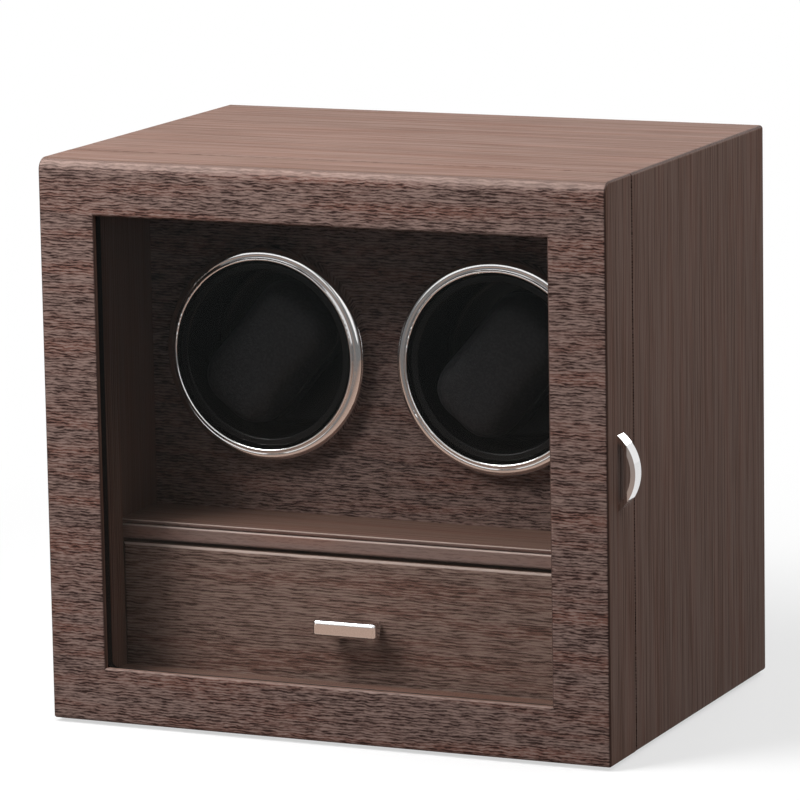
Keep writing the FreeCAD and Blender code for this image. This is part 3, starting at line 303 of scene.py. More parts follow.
@dataclass(frozen=True)
class WalnutFilm:
    """Embossed walnut film: short wavy pores on the faces seen from the front, long streaks elsewhere."""

    name: str = "walnut_film"
    body: Colour = srgb(110, 90, 84)
    # Ridge colour between the pores: partly the film's printed grain, partly a painted highlight on the
    # embossed relief.
    ridge: Colour = srgb(142, 119, 111)
    warm: Colour = srgb(118, 82, 72)
    plain: Colour = srgb(114, 87, 74)
    pore: Colour = srgb(50, 36, 33)
    # Painted highlight colour for the rounded upper edges, not a colour the film has.
    highlight_tint: Colour = srgb(146, 126, 118)
    pore_length: float = 6.0 * MM
    pore_pitch: float = 1.2 * MM
    streak_length: float = 90 * MM
    streak_pitch: float = 1.6 * MM
    patch_length: float = 90 * MM
    patch_width: float = 8 * MM
    wave: float = 2.2
    order: float = 0.5
    disorder: float = 4.5
    emboss: float = 0.12 * MM
    relief: float = 0.8
    pore_share: float = 0.95
    streak_share: float = 0.34
    plain_share: float = 0.65
    warm_share: float = 0.8
    # How much painted shade darkens the rounded upright edges.
    edge_shade: float = 0.55
    # How much painted highlight the rounded upper edges get.
    edge_highlight: float = 0.5
    roughness: float = 0.48
    pore_dullness: float = 0.16
    shine: float = 0.03
    drift: Noise = Noise(1.0, 3.0, 0.55)
    drift_squeeze: float = 0.35
    drift_layer: float = 3.0
    breaks: Noise = Noise(1.2, 3.0, 0.6)
    break_squeeze: float = 0.9
    break_layer: float = 17.0
    patches: Noise = Noise(1.0)
    patch_layer: float = 11.0
    side_turn: Ramp = (0.55, 0.75)
    top_turn: Ramp = (0.8, 0.97)
    crack_levels: Ramp = (-0.1, 0.95)
    ridge_highlight_levels: Ramp = (0.1, -0.9)
    warm_levels: Ramp = (0.42, 0.68)
    # Where the painted shade on upright edges rises and falls with how far a face looks sideways.
    shade_rise: Ramp = (0.25, 0.5)
    shade_fall: Ramp = (0.75, 0.95)
    # Where the painted highlight on upper edges rises and falls with how far a face looks up.
    highlight_rise: Ramp = (0.2, 0.55)
    highlight_fall: Ramp = (0.85, 0.99)

    def levels(self, shader: Shader, long_grain: Socket, along: Socket, across: Socket) -> Socket:
        """Work out the film's relief: wavy lines, broken up by noise.

        Args:
            shader: The film's shader.
            long_grain: Where the grain is long.
            along: The place along the grain.
            across: The place across the grain.

        Returns:
            The level, high in a pore and low on a ridge.
        """
        per_length = shader.blend(long_grain, 1 / self.pore_length, 1 / self.streak_length)
        per_pitch = shader.blend(long_grain, 1 / self.pore_pitch, 1 / self.streak_pitch)
        run = shader.math("MULTIPLY", along, per_length)
        lie = shader.math("MULTIPLY", across, per_pitch)
        drift_lie = shader.math("MULTIPLY", lie, self.drift_squeeze)
        drift = shader.noise(shader.join(run, drift_lie, self.drift_layer), self.drift)
        sway = shader.math("MULTIPLY", shader.math("SUBTRACT", drift, NOISE_MIDDLE), self.wave)
        ripple = shader.math("SINE", shader.math("MULTIPLY", shader.math("ADD", lie, sway), math.tau))
        break_lie = shader.math("MULTIPLY", lie, self.break_squeeze)
        breaks = shader.noise(shader.join(run, break_lie, self.break_layer), self.breaks)
        rough = shader.math("MULTIPLY", shader.math("SUBTRACT", breaks, NOISE_MIDDLE), self.disorder)
        return shader.math("ADD", shader.math("MULTIPLY", ripple, self.order), rough)

    def ground(self, shader: Shader, long_grain: Socket, along: Socket, across: Socket) -> Socket:
        """Mix the film's colour between its pores, with warm patches.

        Args:
            shader: The film's shader.
            long_grain: Where the grain is long.
            along: The place along the grain.
            across: The place across the grain.

        Returns:
            The colour.
        """
        run = shader.math("DIVIDE", along, self.patch_length)
        lie = shader.math("DIVIDE", across, self.patch_width)
        patches = shader.noise(shader.join(run, lie, self.patch_layer), self.patches)
        warmth = shader.math("MULTIPLY", shader.step(patches, *self.warm_levels), self.warm_share)
        plain = shader.math("MULTIPLY", long_grain, self.plain_share)
        return shader.tint(plain, shader.tint(warmth, self.body, self.warm), self.plain)

    def edged(self, shader: Shader, film: Socket, side_facing: Socket, upward: Socket) -> Socket:
        """Paint a highlight on rounded upper edges, where the light falls, and paint shade on upright ones.

        Args:
            shader: The film's shader.
            film: The film's colour elsewhere.
            side_facing: How far the surface faces to either side.
            upward: How far it faces up.

        Returns:
            The colour.
        """
        # Painted shade on the rounded upright edges, darkened towards the pore colour.
        corner = shader.math("SUBTRACT", shader.step(side_facing, *self.shade_rise),
                             shader.step(side_facing, *self.shade_fall))
        # Painted highlight on the rounded upper edges, where the light from above falls.
        highlight_band = shader.math("SUBTRACT", shader.step(upward, *self.highlight_rise),
                           shader.step(upward, *self.highlight_fall))
        highlighted = shader.tint(shader.math("MULTIPLY", highlight_band, self.edge_highlight), film, self.highlight_tint)
        return shader.tint(shader.math("MULTIPLY", corner, self.edge_shade), highlighted, self.pore)

    def build(self) -> bpy.types.Material:
        """Make the film's material.

        Returns:
            The material.
        """
        shader = Shader(self.name)
        x, y, z = shader.split(shader.place())
        sideways, _, upward = shader.facing()
        side_facing = shader.math("ABSOLUTE", sideways)
        side = shader.step(side_facing, *self.side_turn)
        top = shader.step(shader.math("ABSOLUTE", upward), *self.top_turn)
        long_grain = shader.math("MAXIMUM", side, top)
        along = shader.blend(side, x, z)
        across = shader.blend(long_grain, z, y)
        level = self.levels(shader, long_grain, along, across)
        crack = shader.step(level, *self.crack_levels)
        ground = self.ground(shader, long_grain, along, across)
        # Ridges tinted lighter: partly printed grain, partly a painted highlight on the relief.
        ridge_highlighted = shader.tint(shader.step(level, *self.ridge_highlight_levels), ground, self.ridge)
        grain = shader.tint(crack, ridge_highlighted, self.pore)
        film = shader.tint(shader.blend(long_grain, self.pore_share, self.streak_share), ground, grain)
        shader.set(Base_Color=self.edged(shader, film, side_facing, upward))
        shader.set(Roughness=shader.blend(crack, self.roughness, self.roughness + self.pore_dullness))
        shader.set(Specular_IOR_Level=self.shine)
        shader.bump(shader.math("SUBTRACT", 1.0, crack), self.emboss, self.relief)
        return shader.material


@dataclass(frozen=True)
class Chrome:
    """Bright plating with a faint haze of handling marks."""

    name: str = "chrome_plate"
    tone: Colour = (0.78, 0.77, 0.77)
    haze: Ramp = (0.03, 0.102)
    smudges: Noise = Noise(90.0, 4.0, 0.6)

    def build(self) -> bpy.types.Material:
        """Make the plating's material.

        Returns:
            The material.
        """
        shader = Shader(self.name)
        smudge = shader.noise(shader.place(), self.smudges)
        shader.set(Base_Color=self.tone, Metallic=1.0)
        shader.set(Roughness=shader.blend(smudge, *self.haze))
        return shader.material


@dataclass(frozen=True)
class ClearGlass:
    """Thin clear pane that lets light through and mirrors a little."""

    name: str = "pane_glass"
    tone: Colour = (0.03, 0.035, 0.034)
    cover: float = 0.06
    mirror_index: float = 2.0
    haze: Ramp = (0.01, 0.05)
    smears: Noise = Noise(26.0, 3.0)

    def build(self) -> bpy.types.Material:
        """Make the pane's material.

        Returns:
            The material.
        """
        shader = Shader(self.name)
        smear = shader.noise(shader.place(), self.smears)
        shader.set(Base_Color=self.tone, IOR=self.mirror_index, Alpha=self.cover)
        shader.set(Roughness=shader.blend(smear, *self.haze))
        return shader.material


@dataclass(frozen=True)
class Moulding:
    """Moulded plastic with a fine grain."""

    name: str
    tone: Colour
    roughness: float
    grain: float
    shine: float = 0.35
    clouds: Noise = Noise(60.0, 3.0)
    cloud_gain: float = 1.25
    cloud_lift: float = 0.002
    rough_spread: Ramp = (0.8, 1.25)
    pits: Noise = Noise(2600.0)
    relief: float = 0.5

    def build(self) -> bpy.types.Material:
        """Make the plastic's material.

        Returns:
            The material.
        """
        shader = Shader(self.name)
        where = shader.place()
        cloud = shader.noise(where, self.clouds)
        lighter = tuple(min(1.0, level * self.cloud_gain + self.cloud_lift) for level in self.tone)
        smooth_spots, rough_spots = (self.roughness * spread for spread in self.rough_spread)
        shader.set(Base_Color=shader.tint(cloud, self.tone, lighter), Specular_IOR_Level=self.shine)
        shader.set(Roughness=shader.blend(cloud, smooth_spots, rough_spots))
        shader.bump(shader.noise(where, self.pits), self.grain, self.relief)
        return shader.material


@dataclass(frozen=True)
class Metal:
    """Plain or plated metal with fine drawn lines."""

    name: str
    tone: Colour
    roughness: float
    lines: Noise = Noise(3000.0)
    line_squeeze: float = 0.08
    line_depth: float = 0.02 * MM
    relief: float = 0.5
    stains: Noise = Noise(130.0, 3.0)
    stain_shade: float = 0.78
    rough_spread: Ramp = (0.7, 1.4)

    def build(self) -> bpy.types.Material:
        """Make the metal's material.

        Returns:
            The material.
        """
        shader = Shader(self.name)
        x, y, z = shader.split(shader.place())
        lines = shader.noise(shader.join(shader.math("MULTIPLY", x, self.line_squeeze), y, z), self.lines)
        stain = shader.noise(shader.place(), self.stains)
        darker = tuple(level * self.stain_shade for level in self.tone)
        smooth_lines, rough_lines = (self.roughness * spread for spread in self.rough_spread)
        shader.set(Base_Color=shader.tint(stain, darker, self.tone), Metallic=1.0)
        shader.set(Roughness=shader.blend(lines, smooth_lines, rough_lines))
        shader.bump(lines, self.line_depth, self.relief)
        return shader.material


@dataclass(frozen=True)
class Felt:
    """Short felt with matted fibres."""

    name: str = "black_felt"
    tone: Colour = (0.012, 0.012, 0.013)
    nap: Colour = (0.045, 0.044, 0.046)
    fibres: Noise = Noise(1700.0, 4.0, 0.7)
    fibre_levels: Ramp = (0.45, 0.7)
    fibre_depth: float = 0.25 * MM
    relief: float = 0.8
    clumps: Noise = Noise(160.0, 3.0)
    clump_levels: Ramp = (0.3, 0.7)
    roughness: float = 0.95
    sheen: float = 0.2
    sheen_roughness: float = 0.5
    shine: float = 0.1

    def build(self) -> bpy.types.Material:
        """Make the felt's material.

        Returns:
            The material.
        """
        shader = Shader(self.name)
        where = shader.place()
        fibres = shader.noise(where, self.fibres)
        clumps = shader.noise(where, self.clumps)
        nap = shader.math("MULTIPLY", shader.step(fibres, *self.fibre_levels),
                          shader.step(clumps, *self.clump_levels))
        shader.set(Base_Color=shader.tint(nap, self.tone, self.nap))
        shader.set(Roughness=self.roughness, Specular_IOR_Level=self.shine)
        shader.set(Sheen_Weight=self.sheen, Sheen_Roughness=self.sheen_roughness)
        shader.bump(fibres, self.fibre_depth, self.relief)
        return shader.material


@dataclass(frozen=True)
class Leatherette:
    """Soft black leatherette with a pebbled grain."""

    name: str = "black_leatherette"
    tone: Colour = (0.010, 0.010, 0.011)
    crest: Colour = (0.022, 0.021, 0.022)
    pebble: float = 900.0
    pebble_levels: Ramp = (0.75, 0.1)
    pebble_depth: float = 0.12 * MM
    relief: float = 0.6
    soft_spots: Noise = Noise(55.0, 3.0)
    roughness: Ramp = (0.5, 0.68)
    shine: float = 0.14

    def build(self) -> bpy.types.Material:
        """Make the leatherette's material.

        Returns:
            The material.
        """
        shader = Shader(self.name)
        where = shader.place()
        cells = shader.node("ShaderNodeTexVoronoi", feature="F1")
        shader.plug(cells.inputs["Vector"], where)
        shader.plug(cells.inputs["Scale"], self.pebble)
        pebbles = shader.step(cells.outputs["Distance"], *self.pebble_levels)
        soft = shader.noise(where, self.soft_spots)
        shader.set(Base_Color=shader.tint(pebbles, self.tone, self.crest))
        shader.set(Roughness=shader.blend(soft, *self.roughness), Specular_IOR_Level=self.shine)
        shader.bump(pebbles, self.pebble_depth, self.relief)
        return shader.material


@dataclass(frozen=True)
class Fibreboard:
    """Bare pressed board with flecks of fibre."""

    name: str = "bare_board"
    tone: Colour = srgb(176, 146, 112)
    fleck: Colour = srgb(138, 108, 78)
    fibres: Noise = Noise(900.0, 4.0, 0.65)
    fibre_squeeze: float = 0.3
    fibre_depth: float = 0.05 * MM
    relief: float = 0.5
    fleck_levels: Ramp = (0.4, 0.66)
    roughness: Ramp = (0.7, 0.85)
    shine: float = 0.25

    def build(self) -> bpy.types.Material:
        """Make the board's material.

        Returns:
            The material.
        """
        shader = Shader(self.name)
        x, y, z = shader.split(shader.place())
        fibres = shader.noise(shader.join(shader.math("MULTIPLY", x, self.fibre_squeeze), y, z), self.fibres)
        shader.set(Base_Color=shader.tint(shader.step(fibres, *self.fleck_levels), self.tone, self.fleck))
        shader.set(Roughness=shader.blend(fibres, *self.roughness), Specular_IOR_Level=self.shine)
        shader.bump(fibres, self.fibre_depth, self.relief)
        return shader.material


Finish = WalnutFilm | Chrome | ClearGlass | Moulding | Metal | Felt | Leatherette | Fibreboard

FILM = WalnutFilm()
# The drawer film's lighter ridges and rounded upper edges carry painted highlights, as on the main film.
DRAWER_FILM = WalnutFilm(name="drawer_film", pore_length=10 * MM, emboss=0.06 * MM, edge_highlight=0.9,
                         body=srgb(126, 102, 93), ridge=srgb(150, 126, 115), pore=srgb(74, 56, 49),
                         highlight_tint=srgb(190, 170, 160))
# The inner film's rounded upper edges carry a painted highlight.
INNER_FILM = WalnutFilm(name="inner_film", emboss=0.04 * MM, pore_share=0.25, streak_share=0.16,
                        roughness=0.4, edge_highlight=0.8, highlight_tint=srgb(190, 170, 160))
# A lighter copy of the inner film: its lighter body and warm tone paint the highlight on the divider rail's
# front, and its upper edges get a stronger painted highlight.
HIGHLIT_RAIL_FILM = replace(INNER_FILM, name="rail_film_painted_highlight", body=srgb(142, 118, 110), warm=srgb(150, 112, 100),
                    edge_highlight=0.9, highlight_tint=srgb(208, 188, 178))
CHROME = Chrome()
GLASS = ClearGlass()
GLOSS_BLACK = Moulding("gloss_black", (0.005, 0.005, 0.005), roughness=0.22, grain=0.004 * MM, shine=0.12)
MATTE_BLACK = Moulding("matte_black", (0.010, 0.010, 0.010), roughness=0.55, grain=0.03 * MM, shine=0.12)
NYLON = Moulding("natural_nylon", (0.72, 0.70, 0.64), roughness=0.45, grain=0.02 * MM)
WHITE_PAINT = Moulding("white_paint", (0.78, 0.78, 0.77), roughness=0.5, grain=0.01 * MM)
BOARD_GREEN = Moulding("board_green", (0.015, 0.13, 0.05), roughness=0.35, grain=0.02 * MM)
INSULATION = Moulding("red_insulation", (0.30, 0.02, 0.02), roughness=0.42, grain=0.01 * MM)
STEEL = Metal("zinc_steel", (0.60, 0.60, 0.61), roughness=0.28)
BRASS = Metal("turned_brass", (0.74, 0.55, 0.27), roughness=0.24)
FELT = Felt()
LEATHERETTE = Leatherette()
BARE_BOARD = Fibreboard()

NODE_FINISHES = {
    FILM: ("carcass_top", "carcass_bottom", "carcass_left", "carcass_right", "door_frame", "rotor_panel"),
    DRAWER_FILM: ("drawer_front",),
    INNER_FILM: ("liner_left", "liner_right", "compartment_floor"),
    HIGHLIT_RAIL_FILM: ("divider_shelf",),
    CHROME: ("bezel_left", "bezel_right", "door_pull", "drawer_pull"),
    GLASS: ("door_glass",),
    GLOSS_BLACK: ("rotor_cup_left", "rotor_cup_right", "switch_rocker"),
    MATTE_BLACK: ("glass_retainer", "back_panel", "motor_plate", "dc_inlet", "switch_body"),
    NYLON: ("drawer_glides", "board_standoffs", "rotor_gear_left", "rotor_gear_right"),
    BOARD_GREEN: ("control_board",),
    INSULATION: ("motor_lead_left", "motor_lead_right"),
    STEEL: ("back_panel_screws", "motor_screws", "motor_left", "motor_right", "rotor_shaft_left",
            "rotor_shaft_right", "shaft_clip_left", "shaft_clip_right", "hinge_pins", "case_magnets",
            "door_magnets", "drawer_pull_screws"),
    BRASS: ("rotor_bushes", "pinion_left", "pinion_right", "hinge_case_leaves", "hinge_door_leaves",
            "hinge_case_screws", "hinge_door_screws"),
    FELT: ("base_felt", "drawer_lining"),
    LEATHERETTE: ("cushion_left", "cushion_right"),
    BARE_BOARD: ("rear_battens", "drawer_side_left", "drawer_side_right", "drawer_back", "drawer_bottom"),
}


class Finishes:
    """Every finish, built once when it is first laid on a piece."""

    def __init__(self) -> None:
        """Start with no material built."""
        self.materials: dict[Finish, bpy.types.Material] = {}

    def dress(self, piece: bpy.types.Object, finish: Finish) -> None:
        """Give a piece one finish all over.

        Args:
            piece: The piece to dress.
            finish: The finish it gets.
        """
        if finish not in self.materials:
            self.materials[finish] = finish.build()
        piece.data.materials.clear()
        piece.data.materials.append(self.materials[finish])

    def dress_nodes(self) -> None:
        """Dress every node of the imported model."""
        for finish, names in NODE_FINISHES.items():
            for name in names:
                self.dress(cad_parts[name], finish)
            LOG.info("%s on %d nodes", finish.name, len(names))


def choose(*pieces: bpy.types.Object) -> None:
    """Select only these pieces, with the first one active."""
    bpy.ops.object.select_all(action="DESELECT")
    for piece in pieces:
        piece.select_set(True)
    bpy.context.view_layer.objects.active = pieces[0]


def start(add: Callable[..., set[str]], **settings: object) -> bpy.types.Object:
    """Add a primitive with nothing else selected.

    Args:
        add: The operator that adds it.
        **settings: The operator's settings.

    Returns:
        The new piece.
    """
    bpy.ops.object.select_all(action="DESELECT")
    add(**settings)
    return bpy.context.object


def settle(piece: bpy.types.Object) -> None:
    """Move a piece's place, turn and scale into its mesh."""
    choose(piece)
    bpy.ops.object.transform_apply(location=True, rotation=True, scale=True)


def copy_of(piece: bpy.types.Object, name: str) -> bpy.types.Object:
    """Copy a piece with a mesh of its own.

    Args:
        piece: The piece to copy.
        name: The copy's name.

    Returns:
        The copy.
    """
    made = bpy.data.objects.new(name, piece.data.copy())
    made.matrix_world = piece.matrix_world.copy()
    bpy.context.scene.collection.objects.link(made)
    return made


def edit_all(piece: bpy.types.Object) -> None:
    """Enter edit mode on a piece with all of it selected."""
    choose(piece)
    bpy.ops.object.mode_set(mode="EDIT")
    bpy.ops.mesh.select_all(action="SELECT")


def edit_faces(piece: bpy.types.Object, wanted: Callable[[bpy.types.MeshPolygon], bool]) -> None:
    """Enter edit mode on a piece with some of its faces selected.

    Args:
        piece: The piece to edit.
        wanted: Says whether a face is selected.
    """
    choose(piece)
    bpy.ops.object.mode_set(mode="EDIT")
    bpy.ops.mesh.select_mode(type="FACE")
    bpy.ops.mesh.select_all(action="DESELECT")
    bpy.ops.object.mode_set(mode="OBJECT")
    for face in piece.data.polygons:
        face.select = wanted(face)
    bpy.ops.object.mode_set(mode="EDIT")


def leave_edit() -> None:
    """Go back to object mode."""
    bpy.ops.object.mode_set(mode="OBJECT")


def modify(piece: bpy.types.Object, kind: str, **settings: object) -> None:
    """Add a modifier to a piece and apply it.

    Args:
        piece: The piece to modify.
        kind: The modifier's type.
        **settings: Its settings.
    """
    choose(piece)
    made = piece.modifiers.new(kind.lower(), kind)
    for word, setting in settings.items():
        setattr(made, word, setting)
    bpy.ops.object.modifier_apply(modifier=made.name)


def smooth(piece: bpy.types.Object, degrees: float = 40.0) -> None:
    """Shade a piece smoothly, save for its sharp edges."""
    choose(piece)
    bpy.ops.object.shade_smooth_by_angle(angle=math.radians(degrees))


@dataclass
class Place:
    """Where a piece made here belongs."""

    body: str
    slot: str
    finish: Finish
    nodes: tuple[str, ...] = ()

    def take(self, piece: bpy.types.Object, finishes: Finishes) -> None:
        """Dress a piece and hand it to its body.

        Args:
            piece: The finished piece.
            finishes: The finishes to dress it with.
        """
        finishes.dress(piece, self.finish)
        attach(piece, self.body)
        if self.nodes:
            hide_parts(*self.nodes)
        LOG.info("%s rides %s", piece.name, self.body)


@dataclass
class Cushion:
    """Soft watch cushion, blown up inside its plain solid's room, with a welt round its widest part."""

    side: str
    shrink: float = 1.2 * MM
    voxel: float = 3.0 * MM
    pressure: float = 4.0
    frames: int = 20
    swell: float = 1.6 * MM
    welt_depth: float = 0.45
    welt_radius: float = 0.75 * MM
    pinch: float = 0.9 * MM
    pinch_reach: float = 3.5 * MM
    weld: float = 0.01 * MM
    easing: float = 0.5
    easing_rounds: int = 3
    welt_steps: int = 3
    fill: float = 0.8

    def skin(self) -> bpy.types.Object:
        """Wrap an even skin around the cushion's solid.

        Returns:
            The skin.
        """
        piece = copy_of(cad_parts[f"cushion_{self.side}"], f"soft_cushion_{self.side}")
        edit_all(piece)
        bpy.ops.mesh.remove_doubles(threshold=self.weld)
        bpy.ops.mesh.normals_make_consistent(inside=False)
        bpy.ops.transform.shrink_fatten(value=-self.shrink)
        leave_edit()
        modify(piece, "REMESH", mode="VOXEL", voxel_size=self.voxel)
        return piece

    def blow(self, piece: bpy.types.Object) -> None:
        """Swell the skin under pressure, within a cap.

        Args:
            piece: The skin.
        """
        rest = [vertex.co.copy() for vertex in piece.data.vertices]
        choose(piece)
        cloth = piece.modifiers.new("stuffing", "CLOTH")
        cloth.settings.use_pressure = True
        cloth.settings.uniform_pressure_force = self.pressure
        cloth.settings.effector_weights.gravity = 0.0
        for step in range(1, self.frames + 1):
            bpy.context.scene.frame_set(step)
        bpy.ops.object.modifier_apply(modifier=cloth.name)
        bpy.context.scene.frame_set(1)
        for vertex, start in zip(piece.data.vertices, rest):
            moved = vertex.co - start
            if moved.length > self.swell:
                vertex.co = start + moved.normalized() * self.swell

    def sew(self, piece: bpy.types.Object) -> bpy.types.Object:
        """Draw the skin in along its seam and run a welt over it.

        Args:
            piece: The swollen skin.

        Returns:
            The welt.
        """
        low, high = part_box(f"cushion_{self.side}")
        seam = low.y + (high.y - low.y) * self.welt_depth
        for vertex in piece.data.vertices:
            away = abs(vertex.co.y - seam) / self.pinch_reach
            if away < 1.0:
                vertex.co -= vertex.normal * self.pinch * (1.0 - away * away) ** 2
        welt = copy_of(piece, f"cushion_welt_{self.side}")
        edit_all(welt)
        bpy.ops.mesh.bisect(plane_co=(0.0, seam, 0.0), plane_no=(0.0, 1.0, 0.0),
                            clear_inner=True, clear_outer=True)
        leave_edit()
        bpy.ops.object.convert(target="CURVE")
        welt.data.bevel_depth = self.welt_radius
        welt.data.bevel_resolution = self.welt_steps
        bpy.ops.object.convert(target="MESH")
        return welt

    def build(self, finishes: Finishes) -> None:
        """Make the cushion and its welt.

        Args:
            finishes: The finishes to dress them with.
        """
        piece = self.skin()
        self.blow(piece)
        modify(piece, "SMOOTH", factor=self.easing, iterations=self.easing_rounds)
        modify(piece, "SUBSURF", levels=1, render_levels=1)
        welt = self.sew(piece)
        body = f"watch_cushion_{self.side}"
        for soft in (piece, welt):
            smooth(soft, ALL_SMOOTH)
        Place(body, "black_leather", LEATHERETTE, (f"cushion_{self.side}",)).take(piece, finishes)
        Place(body, "black_leather", LEATHERETTE).take(welt, finishes)


@dataclass
class FeltSheet:
    """Felt cut to a rounded rectangle and glued flat."""

    node: str
    body: str
    held_by: str
    corner: float = 4.0 * MM
    corner_steps: int = 8
    soft_edge: float = 0.35 * MM
    edge_steps: int = 3
    edge_angle: float = math.radians(60)

    def build(self, finishes: Finishes) -> None:
        """Cut the sheet to its node's size.

        Args:
            finishes: The finishes to dress it with.
        """
        low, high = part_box(self.node)
        size = high - low
        top = ((low.x + high.x) / 2, (low.y + high.y) / 2, high.z)
        piece = start(bpy.ops.mesh.primitive_plane_add, size=1.0, location=top)
        piece.name = f"{self.node}_sheet"
        piece.scale = (size.x, size.y, 1.0)
        settle(piece)
        edit_all(piece)
        bpy.ops.mesh.bevel(offset=self.corner, segments=self.corner_steps, affect="VERTICES")
        leave_edit()
        modify(piece, "SOLIDIFY", thickness=size.z, offset=-1.0)
        modify(piece, "BEVEL", width=self.soft_edge, segments=self.edge_steps, limit_method="ANGLE",
               angle_limit=self.edge_angle)
        smooth(piece)
        Place(self.body, "felt", FELT, (self.node,)).take(piece, finishes)


class Head(Enum):
    """Shapes of a screw's head."""

    PAN = "pan"
    SUNK = "sunk"


@dataclass
class ScrewRow:
    """The screws of one node, each with a cross recess in its head."""

    node: str
    body: str
    slot: str
    finish: Finish
    head: Head
    faces_back: bool
    columns: int
    rows: int
    pair_pitch: float = 24.0 * MM
    head_radius: float = 2.3 * MM
    shank_radius: float = 1.25 * MM
    pan_height: float = 1.8 * MM
    sunk_height: float = 0.95 * MM
    cross_length: float = 2.8 * MM
    cross_width: float = 0.62 * MM
    cross_depth: float = 0.85 * MM
    pan_round: float = 0.7 * MM
    pan_steps: int = 5
    sides: int = 32
    tip_share: float = 0.6
    sharp_angle: float = 35.0

    def levels(self, low: float, high: float, count: int) -> list[float]:
        """Spread screws between two ends of the node's box.

        Args:
            low: The box's low end.
            high: The box's high end.
            count: How many screws there are.

        Returns:
            Their middles; four are two pairs, one at each end.
        """
        first = low + self.head_radius
        last = high - self.head_radius
        if count == 1:
            return [(low + high) / 2]
        if count == 4:
            return [first, first + self.pair_pitch, last - self.pair_pitch, last]
        return [first + (last - first) * step / (count - 1) for step in range(count)]

    def turned(self, radius: float, tip_radius: float, low: float, high: float) -> bpy.types.Object:
        """Turn a cone or cylinder along Z.

        Args:
            radius: The radius at the low end.
            tip_radius: The radius at the high end.
            low: The low end.
            high: The high end.

        Returns:
            The turned piece.
        """
        made = start(bpy.ops.mesh.primitive_cone_add, vertices=self.sides, radius1=radius, radius2=tip_radius,
                     depth=high - low, location=(0.0, 0.0, (low + high) / 2))
        settle(made)
        return made

    def cross(self, top: float) -> bpy.types.Object:
        """Make the cutter for the recess.

        Args:
            top: The level of the head's face.

        Returns:
            Two crossed bars.
        """
        bars = []
        for length, width in ((self.cross_length, self.cross_width), (self.cross_width, self.cross_length)):
            bar = start(bpy.ops.mesh.primitive_cube_add, size=1.0, location=(0.0, 0.0, top))
            bar.scale = (length, width, self.cross_depth * 2)
            settle(bar)
            bars.append(bar)
        modify(bars[0], "BOOLEAN", operation="UNION", object=bars[1])
        bpy.data.objects.remove(bars[1])
        return bars[0]

    def screw(self, length: float) -> bpy.types.Object:
        """Make one screw along Z, with its seat at the origin.

        Args:
            length: How far its shank reaches.

        Returns:
            The screw.
        """
        if self.head is Head.PAN:
            top = self.pan_height
            made = self.turned(self.head_radius, self.head_radius, 0.0, top)
            edit_faces(made, lambda face: face.normal.z > SQUARELY)
            bpy.ops.mesh.bevel(offset=self.pan_round, segments=self.pan_steps, affect="EDGES")
            leave_edit()
        else:
            top = 0.0
            made = self.turned(self.shank_radius, self.head_radius, -self.sunk_height, top)
        cutter = self.cross(top)
        modify(made, "BOOLEAN", operation="DIFFERENCE", object=cutter)
        bpy.data.objects.remove(cutter)
        tip = self.shank_radius * self.tip_share
        shank = self.turned(tip, self.shank_radius, -length, -self.sunk_height / 2)
        choose(made, shank)
        bpy.ops.object.join()
        return made

    def build(self, finishes: Finishes) -> None:
        """Make the node's screws as one piece.

        Args:
            finishes: The finishes to dress them with.
        """
        low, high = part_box(self.node)
        depth = high.y - low.y
        if self.head is Head.PAN:
            depth -= self.pan_height
            seat = high.y - self.pan_height if self.faces_back else low.y + self.pan_height
        else:
            seat = high.y if self.faces_back else low.y
        pattern = self.screw(depth)
        turn = -QUARTER_TURN if self.faces_back else QUARTER_TURN
        made = []
        for x in self.levels(low.x, high.x, self.columns):
            for z in self.levels(low.z, high.z, self.rows):
                screw = copy_of(pattern, f"{self.node}_crossed")
                screw.matrix_world = Matrix.Translation((x, seat, z)) @ Matrix.Rotation(turn, 4, "X")
                settle(screw)
                made.append(screw)
        bpy.data.objects.remove(pattern)
        choose(*made)
        bpy.ops.object.join()
        smooth(made[0], self.sharp_angle)
        Place(self.body, self.slot, self.finish, (self.node,)).take(made[0], finishes)


